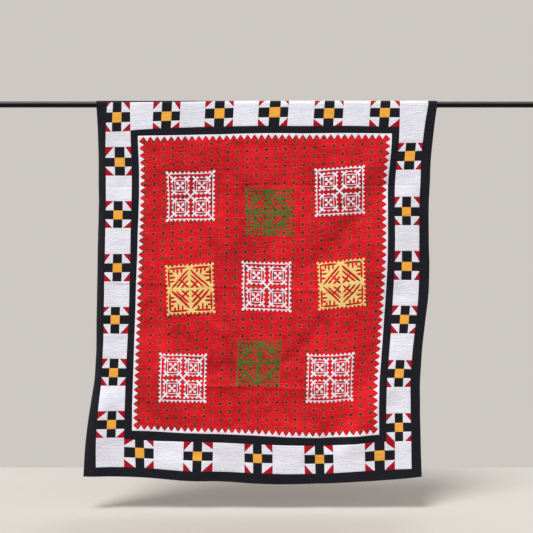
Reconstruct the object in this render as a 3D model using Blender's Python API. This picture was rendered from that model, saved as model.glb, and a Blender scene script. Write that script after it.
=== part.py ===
"""Ralli quilt folded over a round metal rod.

The quilt hangs in front of the rod, and a short flap of its top border lies behind it. It is
made of a printed red centre panel, a white sawtooth edging and nine cut cloth squares sewn on
the panel, a narrow inner border, a border of patchwork and an outer border.

Frame: the origin is on the rod's axis, half way along it. +X runs along the rod, -Y faces the
viewer and +Z is up. A point of the quilt is named by u and v, its distances in the flat cloth
from the left edge and from the top edge.
"""

import math

import bmesh
import bpy
import numpy as np
from mathutils import Vector
from mathutils.geometry import delaunay_2d_cdt

MM = 0.001

# The rod
ROD_RADIUS = 19 * MM
ROD_LENGTH = 3400 * MM
ROD_SIDES = 48

# The cloth
QUILT_THICKNESS = 3 * MM
SEWN_ON_THICKNESS = 1 * MM
GAP = 0.3 * MM
BEND_RADIUS = 21.4 * MM
QUARTER_BEND = BEND_RADIUS * math.pi / 2

# Widths of the strips in the flat quilt, from its left edge and from its top edge
WIDTHS_ACROSS = {
    "outer_left": 66 * MM,
    "patchwork_left": 157 * MM,
    "inner_left": 47 * MM,
    "centre": 1560 * MM,
    "inner_right": 45 * MM,
    "patchwork_right": 151 * MM,
    "outer_right": 60 * MM,
}
WIDTHS_DOWN = {
    "outer_top": 64 * MM,
    "patchwork_top": 173 * MM,
    "inner_top": 42 * MM,
    "centre": 1866 * MM,
    "inner_bottom": 50 * MM,
    "patchwork_bottom": 174 * MM,
    "outer_bottom": 61 * MM,
}

# How many facets each strip gets across its width; those down start at the inner border
CELLS_ACROSS = (2, 2, 1, 21, 1, 2, 1)
CELLS_DOWN = (1, 25, 1, 2, 1)
# Round the rod the facets are this long, this many of them in the top patchwork
BEND_CELL = 8.4 * MM
BEND_CELLS_IN_PATCHWORK = 6

# Where the seams between the strips lie across the view, at heights below the rod's axis
SEAM_X_COLUMNS = (
    "below_axis", "edge_left", "outer_left", "patch_left", "centre_left",
    "centre_right", "patch_right", "outer_right", "edge_right",
)
SEAM_X_MM = (
    (0, -1051, -983, -846, -800, 775, 825, 1001, 1057),
    (200, -1047, -998, -845, -800, 774, 821, 970, 1031),
    (480, -1042, -996, -838, -792, 755, 797, 951, 1010),
    (850, -1047, -1001, -846, -802, 750, 795, 945, 1006),
    (1100, -1051, -1006, -851, -810, 744, 790, 942, 1006),
    (1350, -1057, -1011, -858, -817, 727, 774, 923, 981),
    (1600, -1062, -1021, -872, -827, 709, 755, 898, 957),
    (1850, -1088, -1040, -881, -835, 695, 741, 890, 949),
    (2000, -1108, -1053, -884, -837, 697, 741, 892, 950),
    (2300, -1128, -1059, -885, -837, 698, 741, 896, 958),
)

# Where the seams lie down the cloth, measured along it from the top of the rod
SEAM_S_COLUMNS = (
    "across", "outer_top", "patch_top", "centre_top",
    "centre_bottom", "patch_bottom", "outer_bottom", "edge_bottom",
)
SEAM_S_MM = (
    (-1130, 22, 198, 229, 2052, 2102, 2275, 2331),
    (-890, 21, 196, 229, 2052, 2103, 2275, 2335),
    (-750, 19, 186, 223, 2055, 2114, 2282, 2341),
    (-540, 16, 174, 220, 2067, 2122, 2300, 2359),
    (-290, 9, 170, 217, 2074, 2128, 2306, 2365),
    (0, -4, 167, 211, 2087, 2140, 2317, 2381),
    (220, -9, 167, 212, 2096, 2146, 2322, 2383),
    (550, -13, 167, 211, 2090, 2137, 2308, 2370),
    (730, -12, 171, 214, 2077, 2122, 2297, 2359),
    (960, -15, 174, 217, 2076, 2120, 2285, 2337),
)

SETTLING_ROUNDS = 8

# The folds: from one end to the other as x and height below the axis, how far the line bows
# sideways, the half width, and the depth to the back (a ridge to the front is negative)
FOLD_COLUMNS = ("x0", "h0", "x1", "h1", "bow", "half_width", "depth")
FOLDS_MM = (
    (815, 440, 200, 1060, 20, 80, 17),
    (820, 210, 470, 580, 0, 58, -12),
    (830, 1090, 390, 2120, 40, 85, 21),
    (340, 1340, 100, 1610, 0, 48, 9),
    (-290, 250, -10, 540, 0, 52, -9),
    (-725, 620, -715, 1110, 0, 60, -8),
    (-720, 1230, -660, 1620, 0, 55, 8),
    (-440, 1745, -150, 1745, 0, 50, -8),
    (60, 1772, 350, 1772, 0, 50, -7),
    (760, 1730, 510, 2130, 0, 70, -12),
    (960, 560, 1010, 1100, 0, 60, 9),
    (-1010, 1780, -1120, 2420, 0, 120, -24),
    (330, 2180, 330, 2440, 0, 90, 10),
    (-420, 2200, -440, 2440, 0, 110, -9),
)
# The share of its length over which each end of a fold fades, and how fast its sides fall off
FOLD_TAPER = 0.24
FOLD_FALL_OFF = 1.28
# Heights below the axis where the folds begin and where they have their full depth
FOLDS_START = 40 * MM
FOLDS_FULL = 300 * MM

# How far the left border rolls back from the viewer, at heights below the axis
ROLL_COLUMNS = ("below_axis", "roll")
ROLL_MM = (
    (0, 0), (90, 20), (200, 33), (480, 37), (1100, 37),
    (1600, 38), (1850, 33), (2000, 25), (2150, 14), (2300, 0), (2400, 0),
)
ROLL_POWER = 1.6

# White sawtooth edging on the centre panel
SAW_BASE = 10 * MM
SAW_DEPTH = 25 * MM
SAW_TEETH_ACROSS = 35
SAW_TEETH_DOWN = 40

# The cut squares sewn on the panel: middle in the flat quilt, size with the teeth, and how many
# degrees the level edges tilt and the upright edges lean, clockwise as seen
SQUARE_COLUMNS = ("name", "cloth", "u_mm", "v_mm", "width_mm", "height_mm", "tilt", "lean")
SQUARES = (
    ("white_top_left", "white", 600, 667, 304, 312, -1.0, -0.5),
    ("green_top", "green", 1083, 763, 296, 294, 0.3, -1.9),
    ("white_top_right", "white", 1526, 637, 313, 297, -2.5, -2.1),
    ("yellow_left", "yellow", 610, 1244, 303, 315, -4.2, -3.9),
    ("white_centre", "white", 1086, 1221, 311, 307, 0.2, -2.6),
    ("yellow_right", "yellow", 1550, 1207, 299, 298, -4.2, -4.4),
    ("white_bottom_left", "white", 590, 1804, 301, 309, -0.5, -1.4),
    ("green_bottom", "green", 1058, 1695, 285, 282, -1.5, 0.0),
    ("white_bottom_right", "white", 1517, 1781, 299, 301, -0.2, -2.2),
)
SQUARE_TEETH = 10
SQUARE_TOOTH_DEPTH = 15 * MM

COLOURS = {
    "rod": (0.018, 0.020, 0.021),
    "navy": (0.017, 0.016, 0.024),
    "red": (0.600, 0.020, 0.030),
    "patchwork": (0.780, 0.760, 0.800),
    "white": (0.800, 0.790, 0.840),
    "yellow": (0.800, 0.500, 0.100),
    "green": (0.080, 0.200, 0.040),
}


def column(rows, columns, name):
    """One named column of a table of millimetres, in metres."""
    place = columns.index(name)
    return np.array([row[place] for row in rows]) * MM


def smooth(at, stations, values):
    """Values at the stations, joined by a smooth curve, read at any places."""
    at = np.clip(at, stations[0], stations[-1])
    slopes = np.gradient(values, stations)
    left = np.clip(np.searchsorted(stations, at, side="right") - 1, 0, len(stations) - 2)
    step = stations[left + 1] - stations[left]
    t = (at - stations[left]) / step
    from_left = values[left] + slopes[left] * step * t
    from_right = values[left + 1] + slopes[left + 1] * step * (t - 1)
    blend = t * t * (3 - 2 * t)
    return from_left * (1 - blend) + from_right * blend


def between(at, seams_flat, seams_placed):
    """Where a flat distance lies, between seams placed for each point."""
    left = np.clip(np.searchsorted(seams_flat, at, side="right") - 1, 0, len(seams_flat) - 2)
    part = (at - seams_flat[left]) / (seams_flat[left + 1] - seams_flat[left])
    rows = np.arange(len(at))
    return seams_placed[rows, left] * (1 - part) + seams_placed[rows, left + 1] * part


SEAMS_U = np.concatenate([[0], np.cumsum(list(WIDTHS_ACROSS.values()))])
SEAMS_V = np.concatenate([[0], np.cumsum(list(WIDTHS_DOWN.values()))])
HEIGHTS = column(SEAM_X_MM, SEAM_X_COLUMNS, "below_axis")
SEAM_XS = [column(SEAM_X_MM, SEAM_X_COLUMNS, name) for name in SEAM_X_COLUMNS[1:]]
STATIONS = column(SEAM_S_MM, SEAM_S_COLUMNS, "across")
SEAM_SS = [column(SEAM_S_MM, SEAM_S_COLUMNS, name) for name in SEAM_S_COLUMNS[1:]]


def place_on_view(u, v):
    """Where points of the flat quilt lie: x across the view, s along the cloth from the top.

    Each depends a little on the other, so they are worked out in rounds until they settle.
    """
    s = v - WIDTHS_DOWN["outer_top"]
    for _ in range(SETTLING_ROUNDS):
        below = np.maximum(s - QUARTER_BEND, 0)
        x = between(u, SEAMS_U, np.stack([smooth(below, HEIGHTS, c) for c in SEAM_XS], axis=1))
        seams = np.stack([smooth(x, STATIONS, c) for c in SEAM_SS], axis=1)
        edge = seams[:, :1] - WIDTHS_DOWN["outer_top"]
        s = between(v, SEAMS_V, np.concatenate([edge, seams], axis=1))
    return x, s


def fold_depth(x, below):
    """How far the folds push the cloth to the back, at places below the rod's axis."""
    depth = np.zeros_like(x)
    for row in FOLDS_MM:
        fold = {name: value * MM for name, value in zip(FOLD_COLUMNS, row)}
        along = np.array([fold["x1"] - fold["x0"], fold["h1"] - fold["h0"]])
        length = np.hypot(*along)
        along /= length
        from_x = x - fold["x0"]
        from_h = below - fold["h0"]
        t = (from_x * along[0] + from_h * along[1]) / length
        side = from_x * along[1] - from_h * along[0] - fold["bow"] * (1 - (2 * t - 1) ** 2)
        ends = np.clip(np.minimum(t, 1 - t) / FOLD_TAPER + 0.5, 0, 1)
        ends = ends * ends * (3 - 2 * ends)
        depth += fold["depth"] * ends * np.exp(-FOLD_FALL_OFF * (side / fold["half_width"]) ** 2)
    start = np.clip((below - FOLDS_START) / (FOLDS_FULL - FOLDS_START), 0, 1)
    return depth * start * start * (3 - 2 * start)


def drape(u, v):
    """The middle surface of the hanging quilt, as points for arrays of flat u and v."""
    x, s = place_on_view(u, v)
    angle = np.clip(s / BEND_RADIUS, -math.pi / 2, math.pi / 2)
    hanging = np.maximum(np.abs(s) - QUARTER_BEND, 0)
    y = -BEND_RADIUS * np.sin(angle)
    z = BEND_RADIUS * np.cos(angle) - hanging
    below = np.where(s > 0, hanging, 0)
    roll = smooth(below, column(ROLL_MM, ROLL_COLUMNS, "below_axis"),
                  column(ROLL_MM, ROLL_COLUMNS, "roll"))
    outward = np.clip(1 - u / WIDTHS_ACROSS["outer_left"], 0, 1)
    y = y + fold_depth(x, below) + roll * outward ** ROLL_POWER
    return np.stack([x, y, z], axis=-1)


def even_lines(seams, cells):
    """Flat places of the facets' edges that share out each strip evenly."""
    places = []
    for low, high, count in zip(seams, seams[1:], cells):
        places.extend(np.linspace(low, high, count + 1)[1:])
    return places


def bend_lines(seam, far_side):
    """Flat places of the facets' edges round the rod, to both sides of the seam there."""
    behind = np.arange(seam, BEND_CELL, -BEND_CELL)[::-1]
    ahead = seam + BEND_CELL * np.arange(1, BEND_CELLS_IN_PATCHWORK + 1)
    return [*behind, *ahead, (ahead[-1] + far_side) / 2, far_side]


LINES_U = np.array([0, *even_lines(SEAMS_U, CELLS_ACROSS)])
LINES_V = np.array([0, *bend_lines(SEAMS_V[1], SEAMS_V[2]), *even_lines(SEAMS_V[2:], CELLS_DOWN)])


def surface_grid():
    """Points of the middle surface and its normals, at each crossing of the facet lines."""
    u, v = (a.ravel() for a in np.meshgrid(LINES_U, LINES_V, indexing="ij"))
    step = 2 * MM
    u_low, u_high = np.maximum(u - step, 0), np.minimum(u + step, SEAMS_U[-1])
    v_low, v_high = np.maximum(v - step, 0), np.minimum(v + step, SEAMS_V[-1])
    across = drape(u_high, v) - drape(u_low, v)
    down = drape(u, v_high) - drape(u, v_low)
    normals = np.cross(down, across)
    normals /= np.linalg.norm(normals, axis=1, keepdims=True)
    shape = (len(LINES_U), len(LINES_V), 3)
    return drape(u, v).reshape(shape), normals.reshape(shape)


POINTS, NORMALS = surface_grid()


def on_facets(u, v, offset):
    """A point of the faceted surface, pushed along its normal towards the viewer."""
    i = int(np.clip(np.searchsorted(LINES_U, u, side="right") - 1, 0, len(LINES_U) - 2))
    j = int(np.clip(np.searchsorted(LINES_V, v, side="right") - 1, 0, len(LINES_V) - 2))
    a = (u - LINES_U[i]) / (LINES_U[i + 1] - LINES_U[i])
    b = (v - LINES_V[j]) / (LINES_V[j + 1] - LINES_V[j])
    if a + b <= 1:
        corners = ((i, j, 1 - a - b), (i + 1, j, a), (i, j + 1, b))
    else:
        corners = ((i + 1, j + 1, a + b - 1), (i + 1, j, 1 - b), (i, j + 1, 1 - a))
    point = sum(POINTS[p, q] * w for p, q, w in corners)
    normal = sum(NORMALS[p, q] * w for p, q, w in corners)
    return Vector(point + normal * offset)


def material(name, colour, roughness, metallic=0.0):
    """A plain surface of one colour."""
    made = bpy.data.materials.new(name)
    made.use_nodes = True
    shader = made.node_tree.nodes["Principled BSDF"]
    shader.inputs["Base Color"].default_value = (*colour, 1)
    shader.inputs["Roughness"].default_value = roughness
    shader.inputs["Metallic"].default_value = metallic
    made.diffuse_color = (*colour, 1)
    return made


def add_object(name, bm, surface):
    """An object that holds the finished mesh."""
    bmesh.ops.recalc_face_normals(bm, faces=bm.faces)
    mesh = bpy.data.meshes.new(name)
    bm.to_mesh(mesh)
    bm.free()
    mesh.materials.append(surface)
    made = bpy.data.objects.new(name, mesh)
    bpy.context.scene.collection.objects.link(made)
    return made


def closed_sheet(name, flat_points, triangles, back, front, surface):
    """A sheet between two offsets from the middle surface, closed round its outline."""
    bm = bmesh.new()
    behind = [bm.verts.new(on_facets(u, v, back)) for u, v in flat_points]
    ahead = [bm.verts.new(on_facets(u, v, front)) for u, v in flat_points]
    edges = set()
    for a, b, c in triangles:
        bm.faces.new((ahead[a], ahead[b], ahead[c]))
        bm.faces.new((behind[c], behind[b], behind[a]))
        edges.update(((a, b), (b, c), (c, a)))
    for a, b in sorted(edges):
        if (b, a) not in edges:
            bm.faces.new((ahead[b], ahead[a], behind[a]))
            bm.faces.new((ahead[b], behind[a], behind[b]))
    return add_object(name, bm, surface)


def strip_panel(name, strips_across, strips_down, surface):
    """A panel of the quilt that fills whole strips, a hair short of its neighbours."""
    u_low, u_high = SEAMS_U[strips_across[0]], SEAMS_U[strips_across[1]]
    v_low, v_high = SEAMS_V[strips_down[0]], SEAMS_V[strips_down[1]]
    tiny = GAP / 100
    us = LINES_U[(LINES_U > u_low - tiny) & (LINES_U < u_high + tiny)]
    vs = LINES_V[(LINES_V > v_low - tiny) & (LINES_V < v_high + tiny)]
    us = np.clip(us, u_low + GAP / 2, u_high - GAP / 2)
    vs = np.clip(vs, v_low + GAP / 2, v_high - GAP / 2)
    flat = [(u, v) for u in us for v in vs]
    count = len(vs)
    triangles = []
    for i in range(len(us) - 1):
        for j in range(count - 1):
            here = i * count + j
            triangles.append((here, here + 1, here + count))
            triangles.append((here + count + 1, here + count, here + 1))
    half = QUILT_THICKNESS / 2
    return closed_sheet(name, flat, triangles, -half, half, surface)


def sewn_on(name, outline, surface):
    """A thin cut cloth that lies on the front of the centre panel, facet by facet."""
    us = [u for u, _ in outline]
    vs = [v for _, v in outline]
    columns = [i for i in range(len(LINES_U) - 1)
               if LINES_U[i + 1] > min(us) and LINES_U[i] < max(us)]
    rows = [j for j in range(len(LINES_V) - 1)
            if LINES_V[j + 1] > min(vs) and LINES_V[j] < max(vs)]
    flat = [Vector(p) for p in outline]
    crossing = {}
    for i in (*columns, columns[-1] + 1):
        for j in (*rows, rows[-1] + 1):
            crossing[i, j] = len(flat)
            flat.append(Vector((LINES_U[i], LINES_V[j])))
    edges = []
    for i in columns:
        for j in rows:
            edges.append((crossing[i, j], crossing[i + 1, j]))
            edges.append((crossing[i, j], crossing[i, j + 1]))
            edges.append((crossing[i + 1, j], crossing[i, j + 1]))
    points, _, faces, _, _, sources = delaunay_2d_cdt(
        flat, edges, [list(range(len(outline)))], 0, GAP / 3000)
    kept = [face for face, source in zip(faces, sources) if source]
    used = sorted({corner for face in kept for corner in face})
    new_place = {old: new for new, old in enumerate(used)}
    triangles = [tuple(new_place[corner] for corner in face) for face in kept]
    back = QUILT_THICKNESS / 2 + GAP
    return closed_sheet(name, [tuple(points[old]) for old in used], triangles,
                        back, back + SEWN_ON_THICKNESS, surface)


def saw_profile(length, teeth, start, end):
    """A saw edge along a length: pairs of distance along and distance out."""
    pitch = length / (teeth + 1)
    profile = [(start, 0), (end, 0), (end, SAW_BASE)]
    for tooth in range(teeth, 0, -1):
        if tooth == teeth:
            profile.append(((tooth + 0.5) * pitch, SAW_BASE))
        profile.append((tooth * pitch, SAW_BASE + SAW_DEPTH))
        profile.append(((tooth - 0.5) * pitch, SAW_BASE))
    profile.append((start, SAW_BASE))
    return profile


def build_sawtooth(surface):
    """The four white strips round the edge of the centre panel."""
    left, right = SEAMS_U[3] + GAP / 2, SEAMS_U[4] - GAP / 2
    top, bottom = SEAMS_V[3] + GAP / 2, SEAMS_V[4] - GAP / 2
    across, down = right - left, bottom - top
    level = saw_profile(across, SAW_TEETH_ACROSS, 0, across)
    upright = saw_profile(down, SAW_TEETH_DOWN, SAW_BASE + GAP, down - SAW_BASE - GAP)
    sewn_on("sawtooth_top", [(left + a, top + d) for a, d in level], surface)
    sewn_on("sawtooth_bottom", [(left + a, bottom - d) for a, d in level][::-1], surface)
    sewn_on("sawtooth_left", [(left + d, top + a) for a, d in upright][::-1], surface)
    sewn_on("sawtooth_right", [(right - d, top + a) for a, d in upright], surface)


def toothed_square(width, height):
    """The outline of a cut square about its middle, with teeth and pointed corners."""
    outline = []
    for turn in range(4):
        long, out = (width, height) if turn % 2 == 0 else (height, width)
        base = out / 2 - SQUARE_TOOTH_DEPTH
        run = long - 2 * SQUARE_TOOTH_DEPTH
        pitch = run / (SQUARE_TEETH + 1)
        side = [(-long / 2, out / 2)]
        for tooth in range(SQUARE_TEETH + 1):
            middle = -run / 2 + (tooth + 0.5) * pitch
            side.append((middle, base))
            if tooth < SQUARE_TEETH:
                side.append((middle + pitch / 2, out / 2))
        cosine, sine = round(math.cos(turn * math.pi / 2)), round(math.sin(turn * math.pi / 2))
        outline.extend((cosine * a + sine * b, -sine * a + cosine * b) for a, b in side)
    return outline[::-1]


def build_squares(surfaces):
    """The nine cut squares, each where it was sewn."""
    for row in SQUARES:
        square = dict(zip(SQUARE_COLUMNS, row))
        tilt, lean = math.radians(square["tilt"]), math.radians(square["lean"])
        outline = toothed_square(square["width_mm"] * MM, square["height_mm"] * MM)
        turned = [
            (square["u_mm"] * MM + a * math.cos(tilt) - b * math.sin(lean),
             square["v_mm"] * MM + a * math.sin(tilt) + b * math.cos(lean))
            for a, b in outline
        ]
        sewn_on(f"square_{square['name']}", turned, surfaces[square["cloth"]])


def build_quilt():
    """The centre panel, and its three borders of four strips each."""
    cloths = {
        "inner": material("inner_border_cloth", COLOURS["navy"], 0.9),
        "patchwork": material("patchwork_cloth", COLOURS["patchwork"], 0.9),
        "outer": material("outer_border_cloth", COLOURS["navy"], 0.9),
    }
    panel = material("centre_cloth", COLOURS["red"], 0.85)
    strip_panel("centre_panel", (3, 4), (3, 4), panel)
    strip_panel("inner_border_top", (2, 5), (2, 3), cloths["inner"])
    strip_panel("inner_border_bottom", (2, 5), (4, 5), cloths["inner"])
    strip_panel("inner_border_left", (2, 3), (3, 4), cloths["inner"])
    strip_panel("inner_border_right", (4, 5), (3, 4), cloths["inner"])
    strip_panel("patchwork_left", (1, 2), (1, 6), cloths["patchwork"])
    strip_panel("patchwork_right", (5, 6), (1, 6), cloths["patchwork"])
    strip_panel("patchwork_top", (2, 5), (1, 2), cloths["patchwork"])
    strip_panel("patchwork_bottom", (2, 5), (5, 6), cloths["patchwork"])
    strip_panel("outer_border_top", (0, 7), (0, 1), cloths["outer"])
    strip_panel("outer_border_bottom", (0, 7), (6, 7), cloths["outer"])
    strip_panel("outer_border_left", (0, 1), (1, 6), cloths["outer"])
    strip_panel("outer_border_right", (6, 7), (1, 6), cloths["outer"])


def build_rod():
    """A plain round rod along X, through the fold of the quilt."""
    bm = bmesh.new()
    bmesh.ops.create_cone(bm, cap_ends=True, segments=ROD_SIDES, radius1=ROD_RADIUS,
                          radius2=ROD_RADIUS, depth=ROD_LENGTH)
    rod = add_object("rod", bm, material("rod_paint", COLOURS["rod"], 0.35, 0.6))
    rod.rotation_euler = (0, math.pi / 2, 0)
    rod.data.shade_smooth()
    rod.data.set_sharp_from_angle(angle=math.radians(40))
    return rod


def main():
    for old in list(bpy.data.objects):
        bpy.data.objects.remove(old)
    build_rod()
    build_quilt()
    white = material("edging_cloth", COLOURS["white"], 0.9)
    build_sawtooth(white)
    build_squares({
        "white": material("white_square_cloth", COLOURS["white"], 0.9),
        "yellow": material("yellow_square_cloth", COLOURS["yellow"], 0.9),
        "green": material("green_square_cloth", COLOURS["green"], 0.9),
    })


main()
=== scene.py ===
"""Ralli quilt folded over a metal rod: its cloths, seams, rows of stitches, print and paint.

The quilt is a printed red panel with a sawtooth edging and nine cut squares, a narrow inner
border, a border of patchwork and an outer border. A place in the flat quilt is u, v: metres
from its left edge and from its top edge. Every cloth lies on the one hanging surface.
"""

import math

import bmesh
import bpy
import numpy as np
from bpy.props import FloatProperty, FloatVectorProperty, IntProperty, PointerProperty
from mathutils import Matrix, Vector
from mathutils.geometry import delaunay_2d_cdt


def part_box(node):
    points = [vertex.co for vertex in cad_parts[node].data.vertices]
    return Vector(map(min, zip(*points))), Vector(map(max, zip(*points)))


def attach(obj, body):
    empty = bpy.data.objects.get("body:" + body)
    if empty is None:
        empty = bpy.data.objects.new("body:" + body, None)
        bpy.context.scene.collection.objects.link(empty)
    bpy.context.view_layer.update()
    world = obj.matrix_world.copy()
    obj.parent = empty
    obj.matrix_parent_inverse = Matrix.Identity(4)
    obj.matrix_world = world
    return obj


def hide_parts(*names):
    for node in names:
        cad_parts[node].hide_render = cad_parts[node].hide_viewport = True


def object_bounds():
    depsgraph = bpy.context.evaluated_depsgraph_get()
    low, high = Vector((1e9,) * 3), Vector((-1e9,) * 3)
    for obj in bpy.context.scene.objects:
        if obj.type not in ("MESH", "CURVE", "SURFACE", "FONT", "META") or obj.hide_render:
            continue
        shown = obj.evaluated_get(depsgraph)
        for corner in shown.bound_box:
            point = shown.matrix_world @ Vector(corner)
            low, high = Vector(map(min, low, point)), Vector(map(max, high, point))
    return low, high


bl_info = {
    "name": "Ralli quilt on a rod",
    "version": (1, 0, 0),
    "blender": (4, 5, 0),
    "location": "3D View > Sidebar > Ralli quilt",
    "description": "Builds the cloths of a hanging patchwork quilt and the rod that it hangs on",
    "category": "Object",
}

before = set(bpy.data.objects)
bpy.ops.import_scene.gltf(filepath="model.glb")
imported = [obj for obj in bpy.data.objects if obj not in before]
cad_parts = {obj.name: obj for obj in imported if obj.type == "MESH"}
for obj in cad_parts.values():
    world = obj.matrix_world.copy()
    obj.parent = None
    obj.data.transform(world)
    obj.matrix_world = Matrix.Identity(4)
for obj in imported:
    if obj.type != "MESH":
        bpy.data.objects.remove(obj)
CAD_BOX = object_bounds()

MM = 0.001

# The rod, as the solids have it
ROD_LOW, ROD_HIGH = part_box("rod")
ROD_RADIUS = (ROD_HIGH[2] - ROD_LOW[2]) / 2
ROD_HALF_LENGTH = (ROD_HIGH[0] - ROD_LOW[0]) / 2
# How finely it is turned and its end rounded, the angle in degrees from which its edges are
# sharp, and the length of its end plug
ROD_FACETS = 64
ROD_ROUND_STEPS = 4
ROD_EDGE_ANGLE = 40
ROD_PLUG_LENGTH = 6 * MM

# The middle of the quilt's thickness runs round the rod at this radius
BEND_RADIUS = 21.4 * MM
QUARTER_BEND = BEND_RADIUS * math.pi / 2

# Widths of the strips in the flat quilt, and where the seams between them lie
WIDTHS_ACROSS_MM = (66, 157, 47, 1560, 45, 151, 60)
WIDTHS_DOWN_MM = (64, 173, 42, 1866, 50, 174, 61)
SEAMS_U = np.concatenate([[0], np.cumsum(WIDTHS_ACROSS_MM)]) * MM
SEAMS_V = np.concatenate([[0], np.cumsum(WIDTHS_DOWN_MM)]) * MM
# Two corners of the centre panel
PANEL_LOW = (SEAMS_U[3], SEAMS_V[3])
PANEL_HIGH = (SEAMS_U[4], SEAMS_V[4])

# Where the seams lie across the view, at heights below the rod's axis
SEAM_X_COLUMNS = (
    "below_axis", "edge_left", "outer_left", "patch_left", "centre_left",
    "centre_right", "patch_right", "outer_right", "edge_right",
)
SEAM_X_MM = (
    (0, -1051, -983, -842, -797, 776, 826, 1001, 1057),
    (200, -1047, -994, -840, -795, 775, 821, 970, 1031),
    (480, -1042, -991, -833, -787, 754, 797, 951, 1010),
    (850, -1047, -996, -841, -797, 749, 794, 945, 1006),
    (1100, -1051, -1001, -846, -805, 743, 789, 942, 1006),
    (1350, -1057, -1006, -853, -812, 727, 774, 923, 981),
    (1600, -1062, -1014, -866, -821, 709, 755, 898, 957),
    (1850, -1088, -1032, -875, -829, 695, 741, 890, 949),
    (2000, -1108, -1044, -878, -830, 696, 741, 892, 950),
    (2300, -1128, -1050, -879, -830, 697, 741, 896, 958),
)

# Where the seams lie down the cloth, measured along it from the top of the rod
SEAM_S_COLUMNS = (
    "across", "outer_top", "patch_top", "centre_top",
    "centre_bottom", "patch_bottom", "outer_bottom", "edge_bottom",
)
SEAM_S_MM = (
    (-1130, 25, 200, 232, 2052, 2102, 2275, 2331),
    (-890, 24, 199, 233, 2052, 2103, 2275, 2335),
    (-750, 22, 190, 230, 2054, 2112, 2281, 2341),
    (-540, 19, 180, 226, 2065, 2119, 2298, 2359),
    (-290, 11, 174, 222, 2073, 2126, 2304, 2365),
    (0, -3, 170, 216, 2086, 2139, 2316, 2381),
    (220, -8, 171, 217, 2095, 2145, 2321, 2383),
    (550, -12, 170, 215, 2089, 2136, 2307, 2370),
    (730, -12, 173, 216, 2076, 2121, 2296, 2359),
    (960, -15, 175, 218, 2076, 2120, 2285, 2337),
)
SETTLING_ROUNDS = 8

# The folds of the hanging cloth: ends as x and height below the axis, how far the line bows
# sideways, half width, and depth to the back (a ridge to the front is negative)
FOLD_COLUMNS = ("x0", "h0", "x1", "h1", "bow", "half_width", "depth")
FOLDS_MM = (
    (815, 440, 200, 1060, 20, 80, 17),
    (820, 210, 470, 580, 0, 58, -12),
    (812, 1090, 372, 2120, 40, 94, 23),
    (358, 1340, 118, 1610, 0, 48, 15),
    (-290, 250, -10, 540, 0, 52, -9),
    (-725, 620, -715, 1110, 0, 60, -8),
    (-720, 1230, -660, 1620, 0, 55, 8),
    (-440, 1745, -150, 1745, 0, 50, -8),
    (60, 1772, 350, 1772, 0, 50, -7),
    (760, 1730, 510, 2130, 0, 70, -12),
    (960, 560, 1010, 1100, 0, 60, 9),
    (-1010, 1780, -1120, 2420, 0, 120, -24),
    (330, 2180, 330, 2440, 0, 90, 10),
    (-420, 2200, -440, 2440, 0, 110, -9),
)
# Creases from storage, with a fold's columns: here the ends are u and v in the flat quilt
CREASES_MM = (
    (120, 604, 2000, 600, 4, 8, 2.6),
    (60, 1200, 1780, 1257, 0, 12, -3.6),
    (560, 1850, 1480, 1846, 3, 12, -4.4),
    (1520, 1838, 2020, 1840, 0, 10, 1.8),
    (778, 260, 772, 2120, 4, 24, 3.2),
    (1190, 260, 1180, 1500, 8, 26, -2.2),
    (410, 250, 404, 1700, 6, 24, 2.0),
)
# The share of its length over which each end of a fold fades, and how fast its sides fall off
FOLD_TAPER = 0.24
FOLD_FALL_OFF = 1.28
# Heights below the axis where the folds begin and where they have their full depth
FOLDS_START = 40 * MM
FOLDS_FULL = 300 * MM

# How far the left border rolls back from the viewer, at heights below the axis
ROLL_COLUMNS = ("below_axis", "roll")
ROLL_MM = (
    (0, 0), (90, 20), (200, 33), (480, 37), (1100, 37),
    (1600, 38), (1850, 33), (2000, 25), (2150, 14), (2300, 0), (2400, 0),
)
ROLL_POWER = 1.6

# Small unevenness: hand sewing moves a place this far, and soft dents are this deep and wide
SEWN_ASTRAY = 1.6 * MM
ASTRAY_SIZE = 260 * MM
DENTS_MM = ((4.6, 180), (2.4, 75))

# Meshes: lines to each row of stitches, steps between the lines across, how many of those the
# back has one of, and the angle in degrees from which an edge is sharp
ROW_STEPS = 3
PANEL_STEP_U = 12 * MM
STRIP_STEP_U = 8 * MM
BACK_STEP = 2
CLOTH_EDGE_ANGLE = 48
# Cloth turns down near a hem or a patch's seam: the mesh line beside it, how near and how far
HEM_STEP = 2.5 * MM
HEM_WIDTH = 5 * MM
HEM_FALL = 0.9 * MM
PATCH_FALL = 0.6 * MM
# Which way the surface faces is read from points this far to each side
DIFFERENCE = 2 * MM

# Between the rows the quilt is full: how flat it is there, how evenly the rows are pulled in,
# and over what size that changes
FULLNESS = 0.6
PULL, PULL_CHANGE = 0.85, 0.35
PULL_SIZE = 30 * MM

# The seam that joins the two widths of the printed cloth: places in the flat quilt, the mesh
# lines near it, the width of its line, and how far the cloth turns down beside it
JOIN_MM = ((300, 764), (700, 764), (1474, 779), (2150, 763))
JOIN_MARKS = (764 * MM, 771.5 * MM, 779 * MM)
JOIN_LINE = 1.4 * MM
JOIN_FALL = 0.7 * MM
# Puckers beside it: depth, size down the seam, the share of that across, and their reach
PUCKER_DEPTH = 2.2 * MM
PUCKER_SIZE = 42 * MM
PUCKER_STRETCH = 0.3
PUCKER_REACH = 60 * MM

# The sawtooth edging: its plain edge, its teeth and the square that stays free at each corner
SAW_BASE = 6.5 * MM
SAW_DEPTH = 28 * MM
SAW_TEETH_ACROSS = 35
SAW_TEETH_DOWN = 40
SAW_CORNER = 35 * MM

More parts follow.
